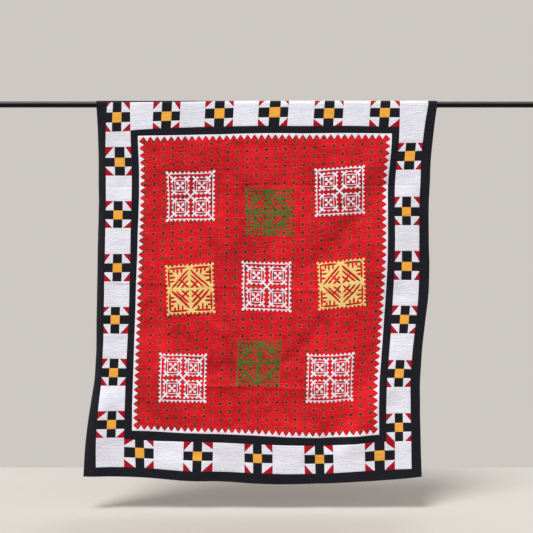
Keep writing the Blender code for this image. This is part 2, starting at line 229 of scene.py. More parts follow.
# The cut squares: middle in the flat quilt, size with the teeth, and how many degrees the level
# edges tilt and the upright edges lean, clockwise as seen
SQUARE_COLUMNS = ("name", "cloth", "u_mm", "v_mm", "width_mm", "height_mm", "tilt", "lean")
SQUARES = (
    ("white_top_left", "white", 594, 663, 304, 312, -1.0, -0.5),
    ("green_top", "green", 1083, 763, 296, 294, 0.3, -1.9),
    ("white_top_right", "white", 1526, 634, 313, 297, -2.5, -2.1),
    ("yellow_left", "yellow", 608, 1244, 303, 315, -4.2, -3.9),
    ("white_centre", "white", 1082, 1221, 311, 307, 0.2, -2.6),
    ("yellow_right", "yellow", 1550, 1205, 299, 298, -4.2, -4.4),
    ("white_bottom_left", "white", 583, 1802, 301, 309, -0.5, -1.4),
    ("green_bottom", "green", 1058, 1695, 285, 282, -1.5, 0.0),
    ("white_bottom_right", "white", 1514, 1779, 299, 301, -0.2, -2.2),
)

# The nine-patch blocks of each patchwork strip: ends of the block and of its middle patch along
# the strip, the two seams that run along the strip between the patches, and how far the block
# leans: its right or lower end lies that much further along
NINE_PATCH_COLUMNS = ("start", "middle_start", "middle_end", "end", "lane_1", "lane_2", "lean")
NINE_PATCHES_MM = {
    "left": (
        (64, 124, 185, 242, 105, 165, 0),
        (345, 414, 471, 528, 122, 183, 0),
        (689, 749, 806, 860, 114, 170, 3),
        (1025, 1084, 1141, 1199, 116, 172, 0),
        (1360, 1413, 1470, 1531, 110, 167, 0),
        (1689, 1749, 1806, 1860, 113, 171, 2),
        (2019, 2076, 2133, 2187, 124, 175, 0),
    ),
    "right": (
        (335, 387, 449, 503, 1921, 1985, -6),
        (670, 735, 791, 847, 1919, 1974, -3),
        (1008, 1076, 1132, 1188, 1918, 1980, 0),
        (1347, 1405, 1461, 1520, 1926, 1981, 0),
        (1685, 1740, 1796, 1852, 1921, 1979, 3),
        (2016, 2075, 2131, 2195, 1927, 1977, -6),
    ),
    "top": (
        (365, 417, 478, 530, 128, 189, -8),
        (683, 741, 802, 857, 117, 183, -7),
        (1010, 1077, 1144, 1194, 122, 184, -14),
        (1353, 1413, 1475, 1530, 133, 193, -14),
        (1695, 1756, 1817, 1875, 130, 183, -16),
    ),
    "bottom": (
        (218, 290, 347, 407, 2244, 2308, 4),
        (594, 653, 710, 779, 2252, 2305, -6),
        (978, 1032, 1088, 1156, 2252, 2306, 0),
        (1358, 1425, 1482, 1540, 2251, 2307, 4),
        (1740, 1801, 1865, 1923, 2248, 2310, 3),
    ),
}
PATCH_KINDS = ("white", "black", "mustard", "corner")
# The patchwork's whites give back this share of the light that the other whites do
PATCH_WHITE = 0.96
# Crimson triangles whose size differs from the rest, as shares of their patch: by side, block,
# and the patch's place along and across
TRIANGLES = {("left", 0, 0, 0): (0.62, 0.42), ("right", 5, 2, 0): (0.98, 0.98)}
FOOT_TRIANGLE = (0.98, 0.92)
# The rest are drawn between these shares
TRIANGLE_SHARES = (0.7, 0.98)
TRIANGLE_SEED_STEP = 50


def srgb(red, green, blue):
    """A colour from the 0 to 255 scale, as light."""
    shares = (part / 255 for part in (red, green, blue))
    return tuple(s / 12.92 if s <= 0.04045 else ((s + 0.055) / 1.055) ** 2.4 for s in shares)


def colour_choice(name, description, default):
    """A colour that the user may change."""
    return FloatVectorProperty(name=name, description=description, default=default,
                               subtype="COLOR", size=3, min=0, max=1)


def length_choice(name, description, default, low, high):
    """A length that the user may change."""
    return FloatProperty(name=name, description=description, default=default,
                         min=low, max=high, unit="LENGTH", precision=4)


class QuiltSizes(bpy.types.PropertyGroup):
    """Sizes of the quilted cloth."""

    thickness: length_choice("Thickness", "Thickness of the quilted layers between the rows",
                             3 * MM, 1.5 * MM, 6 * MM)
    row_pitch: length_choice("Row pitch", "Distance from one row of stitches to the next",
                             12 * MM, 6 * MM, 30 * MM)
    row_depth: length_choice("Row depth", "How deep a row of stitches draws the face in",
                             0.7 * MM, 0, 1.2 * MM)
    stitch_length: length_choice("Stitch", "Length of one stitch and the gap after it",
                                 7 * MM, 3 * MM, 15 * MM)
    sewn_on_thickness: length_choice("Sewn-on cloth", "How far the cut cloths rise off the panel",
                                     1.1 * MM, 0.4 * MM, 2 * MM)
    square_teeth: IntProperty(name="Teeth", description="Teeth on each side of a cut square",
                              default=10, min=4, max=16)
    tooth_depth: length_choice("Tooth depth", "Depth of the teeth of the cut squares",
                               14 * MM, 5 * MM, 20 * MM)


class QuiltColours(bpy.types.PropertyGroup):
    """Colours of the cloths."""

    red: colour_choice("Red", "Ground of the printed panel", srgb(206, 26, 38))
    print_olive: colour_choice("Print, outline", "Dark outline of the motifs", srgb(84, 58, 30))
    print_maroon: colour_choice("Print, middle", "Middle of the motifs", srgb(134, 28, 46))
    white: colour_choice("White", "Plain white cotton", srgb(229, 230, 243))
    black: colour_choice("Black", "Borders and dark patches", srgb(25, 25, 33))
    mustard: colour_choice("Mustard", "Middle patches", srgb(236, 169, 68))
    crimson: colour_choice("Crimson", "Triangles of the patchwork", srgb(168, 9, 31))
    yellow: colour_choice("Yellow", "Yellow cut squares", srgb(234, 205, 128))
    green: colour_choice("Green", "Green cut squares", srgb(78, 105, 46))
    backing: colour_choice("Backing", "Plain cotton on the back", srgb(112, 24, 34))


class RodChoices(bpy.types.PropertyGroup):
    """Size and colour of the rod's ends and paint."""

    edge_round: length_choice("End rounding", "Rounding of the rod's ends", 1.5 * MM, 0, 5 * MM)
    plug_groove: length_choice("Plug groove", "Width of the line round the end plug",
                               1.2 * MM, 0.4 * MM, 4 * MM)
    paint: colour_choice("Paint", "Satin paint on the rod", srgb(12, 12, 13))


class StageChoices(bpy.types.PropertyGroup):
    """Floor, light and camera."""

    floor_drop: length_choice("Floor", "How far the floor lies below the hem",
                              0.16, 0.05, 1)
    camera_distance: length_choice("Camera distance", "From the quilt's face to the camera",
                                   6, 2, 20)
    view_width: length_choice("View width", "Width of the view at the quilt's face",
                              3.3046, 1, 10)
    floor_colour: colour_choice("Floor colour", "Pale floor", srgb(177, 174, 169))
    sky_colour: colour_choice("Surrounding light", "Plain pale light from all round",
                              srgb(219, 214, 208))


def column(rows, columns, name):
    """One named column of a table of millimetres, in metres."""
    place = columns.index(name)
    return np.array([row[place] for row in rows]) * MM


def ease(t):
    """A soft step from 0 to 1."""
    t = np.clip(t, 0, 1)
    return t * t * (3 - 2 * t)


def smooth(at, stations, values):
    """Values at the stations, joined by a smooth curve, read at any places."""
    at = np.clip(at, stations[0], stations[-1])
    slopes = np.gradient(values, stations)
    left = np.clip(np.searchsorted(stations, at, side="right") - 1, 0, len(stations) - 2)
    step = stations[left + 1] - stations[left]
    t = (at - stations[left]) / step
    from_left = values[left] + slopes[left] * step * t
    from_right = values[left + 1] + slopes[left + 1] * step * (t - 1)
    blend = ease(t)
    return from_left * (1 - blend) + from_right * blend


def between(at, seams_flat, seams_placed):
    """Where a flat distance lies, between seams placed for each point."""
    left = np.clip(np.searchsorted(seams_flat, at, side="right") - 1, 0, len(seams_flat) - 2)
    part = (at - seams_flat[left]) / (seams_flat[left + 1] - seams_flat[left])
    rows = np.arange(len(at))
    return seams_placed[rows, left] * (1 - part) + seams_placed[rows, left + 1] * part


HEIGHTS = column(SEAM_X_MM, SEAM_X_COLUMNS, "below_axis")
SEAM_XS = [column(SEAM_X_MM, SEAM_X_COLUMNS, name) for name in SEAM_X_COLUMNS[1:]]
STATIONS = column(SEAM_S_MM, SEAM_S_COLUMNS, "across")
SEAM_SS = [column(SEAM_S_MM, SEAM_S_COLUMNS, name) for name in SEAM_S_COLUMNS[1:]]
TOP_BORDER = SEAMS_V[1]


def place_on_view(u, v):
    """Where points of the flat quilt lie: x across the view, s along the cloth from the top.

    Each depends a little on the other, so they are worked out in rounds until they settle.
    """
    s = v - TOP_BORDER
    for _ in range(SETTLING_ROUNDS):
        below = np.maximum(s - QUARTER_BEND, 0)
        x = between(u, SEAMS_U, np.stack([smooth(below, HEIGHTS, c) for c in SEAM_XS], axis=1))
        seams = np.stack([smooth(x, STATIONS, c) for c in SEAM_SS], axis=1)
        edge = seams[:, :1] - TOP_BORDER
        s = between(v, SEAMS_V, np.concatenate([edge, seams], axis=1))
    return x, s


def furrows(x, h, rows):
    """How far a table of long folds or creases pushes the cloth to the back."""
    depth = np.zeros_like(x)
    for row in rows:
        fold = {name: value * MM for name, value in zip(FOLD_COLUMNS, row)}
        along = np.array([fold["x1"] - fold["x0"], fold["h1"] - fold["h0"]])
        length = np.hypot(*along)
        along /= length
        from_x = x - fold["x0"]
        from_h = h - fold["h0"]
        t = (from_x * along[0] + from_h * along[1]) / length
        side = from_x * along[1] - from_h * along[0] - fold["bow"] * (1 - (2 * t - 1) ** 2)
        ends = ease(np.minimum(t, 1 - t) / FOLD_TAPER + 0.5)
        depth += fold["depth"] * ends * np.exp(-FOLD_FALL_OFF * (side / fold["half_width"]) ** 2)
    return depth


def uneven(u, v, size, seed):
    """Soft random values from -1 to 1 that change over the given size."""
    cells = 64
    table = np.random.default_rng(seed).uniform(-1, 1, (cells, cells))
    across, down = u / size + 5, v / size + 5
    i, j = np.floor(across).astype(int), np.floor(down).astype(int)
    a, b = ease(across - i), ease(down - j)
    upper = table[i % cells, j % cells] * (1 - a) + table[(i + 1) % cells, j % cells] * a
    lower = table[i % cells, (j + 1) % cells] * (1 - a) + table[(i + 1) % cells, (j + 1) % cells] * a
    return upper * (1 - b) + lower * b


def middle(u, v):
    """The middle surface of the hanging quilt, as points for arrays of flat places."""
    astray_u = SEWN_ASTRAY * uneven(u, v, ASTRAY_SIZE, 1)
    astray_v = SEWN_ASTRAY * uneven(u, v, ASTRAY_SIZE, 2)
    u, v = u + astray_u, v + astray_v
    x, s = place_on_view(u, v)
    angle = np.clip(s / BEND_RADIUS, -math.pi / 2, math.pi / 2)
    hanging = np.maximum(np.abs(s) - QUARTER_BEND, 0)
    below = np.where(s > 0, hanging, 0)
    free = ease((below - FOLDS_START) / (FOLDS_FULL - FOLDS_START))
    y = -BEND_RADIUS * np.sin(angle)
    y += free * (furrows(x, below, FOLDS_MM) + furrows(u, v, CREASES_MM))
    for seed, (depth, size) in enumerate(DENTS_MM, start=3):
        y += free * depth * MM * uneven(u, v, size * MM, seed)
    beside = (u - join_seam(v)) / PUCKER_REACH
    puckers = uneven(u * PUCKER_STRETCH, v, PUCKER_SIZE, 9) * np.exp(-beside * beside)
    y += free * PUCKER_DEPTH * puckers
    roll = smooth(below, *(column(ROLL_MM, ROLL_COLUMNS, name) for name in ROLL_COLUMNS))
    y += roll * np.clip(1 - u / SEAMS_U[1], 0, 1) ** ROLL_POWER
    return np.stack([x, y, BEND_RADIUS * np.cos(angle) - hanging], axis=-1)


def hang(u, v, lifts):
    """Points of the hanging quilt at each of several lifts off its middle, to the viewer."""
    across = middle(u + DIFFERENCE, v) - middle(u - DIFFERENCE, v)
    down = middle(u, v + DIFFERENCE) - middle(u, v - DIFFERENCE)
    normals = np.cross(down, across)
    normals /= np.linalg.norm(normals, axis=1, keepdims=True)
    points = middle(u, v)
    return [points + normals * lift[:, None] for lift in lifts]


def turned_down(distance, depth):
    """How far cloth lies lower at a distance from a seam or edge."""
    return depth * (1 - ease(distance / HEM_WIDTH))


def padding(quilt, u, v):
    """Half the quilt's thickness at flat places: full between the rows, drawn in at each row."""
    wave = np.abs(np.sin(math.pi * v / quilt.row_pitch)) ** FULLNESS - 1
    pull = PULL + PULL_CHANGE * uneven(u, v, PULL_SIZE, 7)
    return quilt.thickness / 2 + quilt.row_depth * wave * pull


def join_seam(v):
    """Where the seam in the printed cloth lies at flat heights."""
    heights, places = np.array(JOIN_MM).T * MM
    return np.interp(v, heights, places)


def from_edges(u, v, low, high):
    """Distance inwards from the nearest edge of an upright oblong between two corners."""
    return np.minimum(np.minimum(u - low[0], high[0] - u), np.minimum(v - low[1], high[1] - v))


def panel_face(quilt, u, v):
    """How far the centre panel's face lies off the quilt's middle."""
    edge = from_edges(u, v, PANEL_LOW, PANEL_HIGH)
    seam = np.abs(u - join_seam(v))
    return padding(quilt, u, v) - turned_down(edge, HEM_FALL) - turned_down(seam, JOIN_FALL)


def mesh_lines(low, high, step, marks=()):
    """Places of a mesh's lines: even steps, and a line at each seam and close beside it."""
    seams = [low, high, *marks]
    beside = [low + HEM_STEP, high - HEM_STEP]
    for mark in marks:
        beside.extend((mark - HEM_STEP, mark + HEM_STEP))
    wanted = sorted({*seams, *beside})
    evens = np.arange(math.ceil(low / step), math.floor(high / step) + 1) * step
    clear = step * 0.3
    kept = [e for e in evens if min(abs(e - w) for w in wanted) > clear]
    return np.array(sorted([*wanted, *kept]))


def panel_lines(quilt):
    """The lines of the centre panel's mesh across and down. Cloths sewn on it share them."""
    return (mesh_lines(PANEL_LOW[0], PANEL_HIGH[0], PANEL_STEP_U, JOIN_MARKS),
            mesh_lines(PANEL_LOW[1], PANEL_HIGH[1], quilt.row_pitch / ROW_STEPS))


def set_map(mesh, name, places):
    """A UV map from one place for each face corner."""
    layer = mesh.uv_layers.new(name=name, do_init=False)
    layer.uv.foreach_set("vector", np.asarray(places, dtype=np.float32).ravel())


def corners(mesh):
    """The vertex and the face of each face corner, and where each face's corners start."""
    vertices = np.empty(len(mesh.loops), dtype=np.int32)
    mesh.loops.foreach_get("vertex_index", vertices)
    totals = np.empty(len(mesh.polygons), dtype=np.int32)
    mesh.polygons.foreach_get("loop_total", totals)
    starts = np.concatenate([[0], np.cumsum(totals)[:-1]])
    return vertices, np.repeat(np.arange(len(totals)), totals), starts


def show_mesh(name, mesh, materials, sharp_angle):
    """An object with this mesh, shaded smooth but for edges sharper than an angle in degrees."""
    for material in materials:
        mesh.materials.append(material)
    mesh.shade_smooth()
    mesh.set_sharp_from_angle(angle=math.radians(sharp_angle))
    made = bpy.data.objects.new(name, mesh)
    bpy.context.scene.collection.objects.link(made)
    return made


def show_faces(name, points, faces, materials):
    """An object with these faces."""
    mesh = bpy.data.meshes.new(name)
    mesh.from_pydata(points, [], faces)
    return show_mesh(name, mesh, materials, CLOTH_EDGE_ANGLE)


class Strip:
    """A closed sheet on a grid of flat places: a face, a plainer back and the edge round them."""

    BACK_SHARE = 0.2
    EDGE = 3 * MM
    SPARE = 12 * MM

    def __init__(self, us, vs):
        self.us, self.vs = us, vs
        self.kept = sorted({*range(0, len(us), BACK_STEP), len(us) - 1})
        self.u, self.v = (a.ravel() for a in np.meshgrid(us, vs, indexing="ij"))
        self.back_u, self.back_v = (a.ravel() for a in np.meshgrid(us[self.kept], vs, indexing="ij"))
        self.places = np.stack([np.concatenate([self.u, self.back_u]),
                                np.concatenate([self.v, self.back_v])], axis=1)
        self.build_faces()

    def build_faces(self):
        """Corner lists of all faces, with the kind of each: front, back or one of the edges."""
        rows, first_back = len(self.vs), len(self.u)

        def cells(columns, first):
            start = first + np.arange(columns - 1)[:, None] * rows + np.arange(rows - 1)[None, :]
            start = start.ravel()
            return np.stack([start, start + 1, start + rows + 1, start + rows], axis=1)

        front = cells(len(self.us), 0)
        back = cells(len(self.kept), first_back)[:, ::-1]
        self.faces = front.tolist() + back.tolist()
        kinds = ["front"] * len(front) + ["back"] * len(back)
        last, last_back = (len(self.us) - 1) * rows, first_back + (len(self.kept) - 1) * rows
        for j in range(rows - 1):
            self.faces.append([j, first_back + j, first_back + j + 1, j + 1])
            self.faces.append([last + j, last + j + 1, last_back + j + 1, last_back + j])
            kinds.extend(("left", "right"))
        for k, (i0, i1) in enumerate(zip(self.kept, self.kept[1:])):
            for j, kind in ((0, "top"), (rows - 1, "bottom")):
                ahead = [i * rows + j for i in range(i0, i1 + 1)]
                face = [*ahead, first_back + (k + 1) * rows + j, first_back + k * rows + j]
                self.faces.append(face if kind == "top" else face[::-1])
                kinds.append(kind)
        self.kinds = np.array(kinds)

    def build(self, name, cloths, front_lift, back_lift, flat_of=lambda u, v: (u, v)):
        """The sheet as an object, with its flat places and its map for baking.

        The first of its cloths covers the face and the last one the back.
        """
        u, v = flat_of(self.u, self.v)
        back_u, back_v = flat_of(self.back_u, self.back_v)
        face, = hang(u, v, [front_lift(u, v)])
        back, = hang(back_u, back_v, [-back_lift(back_u, back_v)])
        made = show_faces(f"{name}_cloth", np.concatenate([face, back]), self.faces, cloths)
        worn = np.where(self.kinds == "back", len(cloths) - 1, 0).astype(np.int32)
        made.data.polygons.foreach_set("material_index", worn)
        self.vertex, self.face, self.starts = corners(made.data)
        flat = np.stack([np.concatenate([u, back_u]), np.concatenate([v, back_v])], axis=1)
        set_map(made.data, "flat", flat[self.vertex])
        self.build_bake_map(made.data)
        return made

    def build_bake_map(self, mesh):
        """Lays the face out in rows one above another that fill a square, then the back.

        The edges stick out round the face's rows, and the back is squeezed.
        """
        places = (self.places - (self.us[0], self.vs[0]))[self.vertex]
        kind = self.kinds[self.face]
        behind = self.vertex >= len(self.u)
        outward = {"left": (-1, 0), "right": (1, 0), "top": (0, -1), "bottom": (0, 1)}
        for side, direction in outward.items():
            places[(kind == side) & behind] += np.array(direction) * self.EDGE
        if self.us[-1] - self.us[0] < self.vs[-1] - self.vs[0]:
            places = places[:, ::-1]
        size = np.array([self.us[-1] - self.us[0], self.vs[-1] - self.vs[0]])
        length, width = size.max(), size.min()
        longest_face = max(np.diff(self.us[self.kept]).max(), HEM_STEP * 2)
        row, back_row = width + self.SPARE, width * self.BACK_SHARE + self.SPARE
        count = max(1, round(math.sqrt(length / (row + back_row))))
        run = length / count
        lowest = np.minimum.reduceat(places[:, 0], self.starts)
        turn = np.clip(np.floor(lowest / run), 0, count - 1)[self.face]
        along = places[:, 0] - turn * run + self.SPARE / 2
        ahead = turn * row + places[:, 1] + self.SPARE / 2
        back = count * row + turn * back_row + places[:, 1] * self.BACK_SHARE + self.SPARE / 2
        side = max(run + longest_face + self.SPARE, count * (row + back_row))
        placed = np.stack([along, np.where(kind == "back", back, ahead)], axis=1)
        set_map(mesh, "OFBake", placed / side)


def ride_and_declare(made, node):
    """Hides the solid that the cloth stands for and hangs the cloth from the root body."""
    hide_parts(node)
    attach(made, "root")


def plain_strip(name, across, down, cloths, quilt):
    """A dark border strip that fills whole strips of the flat quilt."""
    low, high = np.array([SEAMS_U[list(across)], SEAMS_V[list(down)]]).T
    us = mesh_lines(low[0], high[0], STRIP_STEP_U)
    vs = mesh_lines(low[1], high[1], quilt.row_pitch / ROW_STEPS)

    def lift(u, v):
        return padding(quilt, u, v) - turned_down(from_edges(u, v, low, high), HEM_FALL)

    made = Strip(us, vs).build(name, cloths, lift, lift)
    ride_and_declare(made, name)


class Wire:
    """A value in a material. Sums and products of wires add the Math nodes for them."""

    def __init__(self, finish, socket):
        self.finish = finish
        self.socket = socket

    def __add__(self, other):
        return self.finish.math("ADD", self, other)

    def __sub__(self, other):
        return self.finish.math("SUBTRACT", self, other)

    def __rsub__(self, other):
        return self.finish.math("SUBTRACT", other, self)

    def __mul__(self, other):
        return self.finish.math("MULTIPLY", self, other)

    def __truediv__(self, other):
        return self.finish.math("DIVIDE", self, other)

    def __abs__(self):
        return self.finish.math("ABSOLUTE", self)

    __radd__ = __add__
    __rmul__ = __mul__


class Finish:
    """A material in the making, on its Principled shader."""

    def __init__(self, name):
        self.material = bpy.data.materials.new(name)
        self.material.use_nodes = True
        self.tree = self.material.node_tree
        self.shader = self.tree.nodes["Principled BSDF"]

    def node(self, kind, settings=None, sockets=None, out=0):
        """Adds a node: its settings first, then the values or wires of its sockets."""
        node = self.tree.nodes.new(kind)
        for name, value in (settings or {}).items():
            setattr(node, name, value)
        for name, value in (sockets or {}).items():
            if isinstance(value, Wire):
                self.tree.links.new(value.socket, node.inputs[name])
            else:
                node.inputs[name].default_value = value
        return Wire(self, node.outputs[out])

    def math(self, operation, *values, clamp=False):
        """One Math node on numbers and wires."""
        settings = {"operation": operation, "use_clamp": clamp}
        return self.node("ShaderNodeMath", settings, dict(enumerate(values)))

    def below(self, distance, edge, softness=0.8 * MM):
        """1 where the distance is under the edge, 0 beyond it, soft between."""
        return self.math("ADD", (edge - distance) / softness, 0.5, clamp=True)

    def reach(self, a, b):
        """Distance from the origin to a, b."""
        return self.math("SQRT", a * a + b * b)

    def wrapped(self, value, period, shift=0.0):
        """The value's distance from the nearest multiple of the period, shifted."""
        turns = value / period + (0.5 + shift)
        return (self.math("FRACT", turns) - 0.5) * period

    def curve(self, at, rows):
        """A value in metres that runs straight from row to row of a table of millimetres."""
        value = rows[0][1] * MM
        for (start, low), (end, high) in zip(rows, rows[1:]):
            share = self.math("DIVIDE", at - start * MM, (end - start) * MM, clamp=True)
            value = value + share * ((high - low) * MM)
        return value

    def flat(self, name="flat"):
        """The place on the flat cloth, as two wires."""
        place = self.node("ShaderNodeUVMap", {"uv_map": name})
        split = self.tree.nodes.new("ShaderNodeSeparateXYZ")
        self.tree.links.new(place.socket, split.inputs[0])
        return Wire(self, split.outputs[0]), Wire(self, split.outputs[1])

    def noise(self, u, v, size_u, size_v, detail=2.0, seed=0.0):
        """Soft random values from about 0 to 1 that change over the given sizes."""
        sockets = {0: u / size_u, 1: v / size_v, 2: seed}
        place = self.node("ShaderNodeCombineXYZ", None, sockets)
        return self.node("ShaderNodeTexNoise", None, {"Vector": place, "Scale": 1.0, "Detail": detail})

    def colour(self, values):
        """A plain colour as a wire."""
        node = self.tree.nodes.new("ShaderNodeRGB")
        node.outputs[0].default_value = (*values, 1)
        return Wire(self, node.outputs[0])

    def mix(self, share, start, end):
        """A colour between two, by a share from 0 to 1."""
        sockets = {0: share, 6: start, 7: end}
        for place in (6, 7):
            if not isinstance(sockets[place], Wire):
                sockets[place] = (*sockets[place], 1)
        return self.node("ShaderNodeMix", {"data_type": "RGBA"}, sockets, out=2)

    def shade(self, colour, strength):
        """A colour made lighter or darker by a wire about 1."""
        return self.node("ShaderNodeVectorMath", {"operation": "SCALE"},
                         {0: colour, "Scale": strength})

    def stamp(self, under, ink, distance, edge, softness=0.8 * MM, share=1.0):
        """A colour with ink on it where the distance is under the edge."""
        cover = self.below(distance, edge, softness)
        return self.mix(cover if share == 1.0 else cover * share, under, ink)

    def set_plain(self, values):
        """Sets sockets of the shader to plain values."""
        for name, value in values.items():
            self.shader.inputs[name].default_value = value

    def join(self, colour, roughness, height):
        """Feeds the shader, with a height in metres as bump."""
        bump = self.node("ShaderNodeBump", None, {"Height": height, "Distance": 1.0, "Strength": 1.0})
        for name, wire in (("Base Color", colour), ("Roughness", roughness), ("Normal", bump)):
            if isinstance(wire, Wire):
                self.tree.links.new(wire.socket, self.shader.inputs[name])
            else:
                self.shader.inputs[name].default_value = wire
        return self.material


# What makes the cotton uneven: its size across and down, detail, seed, how much it changes the colour's
# strength, and its relief.
# The tone is the cloth's fading, but for the puckers, whose relief comes from the same noise, it is
# painted shade in their hollows
COTTON_COLUMNS = ("across_mm", "down_mm", "detail", "seed", "tone", "relief_mm")
COTTON_NOISES = {
    "patches": (350, 350, 2.0, 1.0, 2.4, 0),
    "streaks": (50, 6, 2.0, 2.0, 2.8, 0),
    "puckers": (16, 7, 1.0, 4.0, 2.6, 1.7),
    "weave": (1.1, 1.1, 1.0, 5.0, 0.5, 0.14),
    "blotches": (100, 60, 2.0, 7.0, 2.0, 0),
    "ripples": (60, 20, 2.0, 6.0, 0, 3.0),
}
COTTON_ROUGHNESS = 0.86
LOW_SHINE = 0.12


def cotton(finish, colour, quilt, fading_and_shade, seed=0.0):
    """Quilted cotton: rows of stitches with puckers along them, a soft weave and uneven fading, with
    painted shade in the rows' grooves and in the puckers' hollows.
    """
    u, v = finish.flat()
    wave = finish.noise(u, v, 0.2, 0.2, 1.0, seed + 3.0)
    sewn_v = v + (wave - 0.5) * (1.2 * MM)
    row = abs(finish.wrapped(sewn_v, quilt.row_pitch))
    along = abs(finish.wrapped(u + finish.noise(u, v, 0.03, 0.012, 0.0, seed) * 0.01, quilt.stitch_length))
    stitch = finish.below(row, 0.5 * MM, 0.4 * MM) * finish.below(along, quilt.stitch_length * 0.3)
    groove = finish.below(row, 0.9 * MM, 1.6 * MM)
    strength, roughness = 1.0, COTTON_ROUGHNESS
    height = stitch * (0.3 * MM) - groove * (0.25 * MM)
    for name, values in COTTON_NOISES.items():
        kind = dict(zip(COTTON_COLUMNS, values))
        noise = finish.noise(u, v, kind["across_mm"] * MM, kind["down_mm"] * MM, kind["detail"],
                             seed + kind["seed"])
        # For the puckers this tone is painted shade: darker where their relief is low
        if kind["tone"]:
            strength = strength + (noise - 0.5) * (fading_and_shade * kind["tone"])
        if kind["relief_mm"]:
            height = height + noise * (kind["relief_mm"] * MM)
        if name == "streaks":
            roughness = roughness + (noise - 0.5) * 0.12
    # Painted shade: the colour is darker in the grooves of the rows of stitches
    strength = strength * (1.0 - groove * (0.08 + fading_and_shade * 0.6)) + stitch * 0.05
    finish.set_plain({"Sheen Weight": 0.03, "Sheen Roughness": 0.5, "Specular IOR Level": LOW_SHINE})
    return finish.join(finish.shade(colour, strength), roughness, height)


def plain_cotton(name, colour, quilt, fading_and_shade=0.1, seed=0.0):
    """Cotton dyed in one colour."""
    finish = Finish(name)
    return cotton(finish, finish.colour(colour), quilt, fading_and_shade, seed=seed)


def backing_cotton(context):
    """The plain cotton on the quilt's back, made once and shared by the strips."""
    known = bpy.data.materials.get("backing_cloth")
    quilt, colours = context.scene.quilt_sizes, context.scene.quilt_colours
    return known or plain_cotton("backing_cloth", colours.backing, quilt, 0.14, 15.0)


# The print's repeat, and the lean of its columns
PRINT_ACROSS = 118.3 * MM
PRINT_DOWN = 105.5 * MM
PRINT_LEAN = 0.003
# On the left and on the right width of cloth: tilt in degrees, where the print starts across and
# down, and how much its rows are crowded
PRINT_TILT = (5.6, 3.3)
PRINT_START = (-10 * MM, 6 * MM)
PRINT_DROP = (18.2 * MM, -24.6 * MM)
PRINT_EASE = (-0.0076, 0.0131)
PRINT_ASTRAY = 5 * MM
# Its motifs
ROSETTE_RADIUS = 10.5 * MM
HALO_WIDTH = 2.6 * MM
STAR_RADIUS = 9 * MM
STAR_RING_RADIUS = STAR_RADIUS * 1.45
STAR_RING_WIDTH = 1.6 * MM
STAR_RAYS = 8
DROP_LENGTH = 19 * MM
DROP_RADIUS = 10 * MM
DROP_OUTLINE = 4.4 * MM
DROP_TURN = math.radians(72)
SOFT_INK = 1.6 * MM


def red_print(colours, quilt):
    """Red cotton block-printed with rosettes, stars and paisley drops, two widths of it."""
    finish = Finish("red_print")
    u, v = finish.flat()
    stray = finish.noise(u, v, 0.045, 0.045, 0.0, 11.0) - 0.5
    from_join = u - finish.curve(v, JOIN_MM)
    on_right = finish.math("GREATER_THAN", from_join, 0.0)

    def by_width(left, right):
        return on_right * (right - left) + left

    tilt = by_width(*(math.tan(math.radians(t)) for t in PRINT_TILT))
    down = v + u * tilt + by_width(*PRINT_DROP) + v * by_width(*PRINT_EASE) + stray * PRINT_ASTRAY
    across = u - v * PRINT_LEAN + by_width(*PRINT_START)
    across = across + (finish.noise(u, v, 0.05, 0.05, 0.0, 12.0) - 0.5) * PRINT_ASTRAY
    near_x, far_x = (finish.wrapped(across, PRINT_ACROSS, s) for s in (0.0, 0.5))
    near_y, far_y = (finish.wrapped(down, PRINT_DOWN, s) for s in (0.0, 0.5))

    olive = finish.colour(colours.print_olive)
    maroon = finish.colour(colours.print_maroon)
    pink = finish.colour(srgb(206, 116, 110))
    halo = finish.colour(srgb(206, 92, 40))
    colour = finish.colour(colours.red)

    for x, y in ((far_x, near_y), (near_x, far_y)):
        angle = finish.math("ARCTAN2", y, x)
        petals = 1.0 + finish.math("COSINE", angle * 7.0) * 0.12
        reach = finish.reach(x, y) * petals
        colour = finish.stamp(colour, halo, reach, ROSETTE_RADIUS + HALO_WIDTH, SOFT_INK, 0.7)
        for ink, share in ((olive, 1), (maroon, 0.55), (olive, 0.16)):
            colour = finish.stamp(colour, ink, reach, ROSETTE_RADIUS * share)

    angle = finish.math("ARCTAN2", near_y, near_x)
    rays = finish.math("COSINE", angle * STAR_RAYS)
    reach = finish.reach(near_x, near_y)
    dark_star = finish.mix(0.45, olive, (0.05, 0.012, 0.016))
    points = finish.below(reach, STAR_RADIUS * 1.9) * finish.below(0.0 - rays, -0.55, 0.3)
    colour = finish.mix(points * 0.55, colour, maroon)
    ring = finish.below(abs(reach - STAR_RING_RADIUS), STAR_RING_WIDTH) * finish.below(rays, -0.6, 0.3)
    colour = finish.mix(ring * 0.75, colour, pink)
    colour = finish.stamp(colour, dark_star, reach, STAR_RADIUS)
    colour = finish.stamp(colour, maroon, reach, STAR_RADIUS * 0.3, share=0.5)

    cosine, sine = math.cos(DROP_TURN), math.sin(DROP_TURN)
    from_x, from_y = far_x + DROP_LENGTH * 0.3 * cosine, far_y + DROP_LENGTH * 0.3 * sine
    tail = from_x * cosine + from_y * sine
    side = from_y * cosine - from_x * sine
    nearest = finish.math("MINIMUM", finish.math("MAXIMUM", tail, 0.0), DROP_LENGTH)
    width = DROP_RADIUS - nearest * 0.28
    outside = finish.reach(side, tail - nearest) - width
    colour = finish.stamp(colour, halo, outside, HALO_WIDTH * 0.7, SOFT_INK, 0.6)
    colour = finish.stamp(colour, olive, outside, 0.0)
    colour = finish.stamp(colour, finish.mix(0.14, maroon, pink), outside, -DROP_OUTLINE)
    colour = finish.stamp(colour, olive, finish.reach(side, tail), 2.4 * MM, share=0.7)
    thread = finish.mix(0.5, maroon, olive)
    colour = finish.stamp(colour, thread, abs(from_join), JOIN_LINE, 2.0 * MM, 0.75)
    return cotton(finish, colour, quilt, 0.42, seed=1.0)


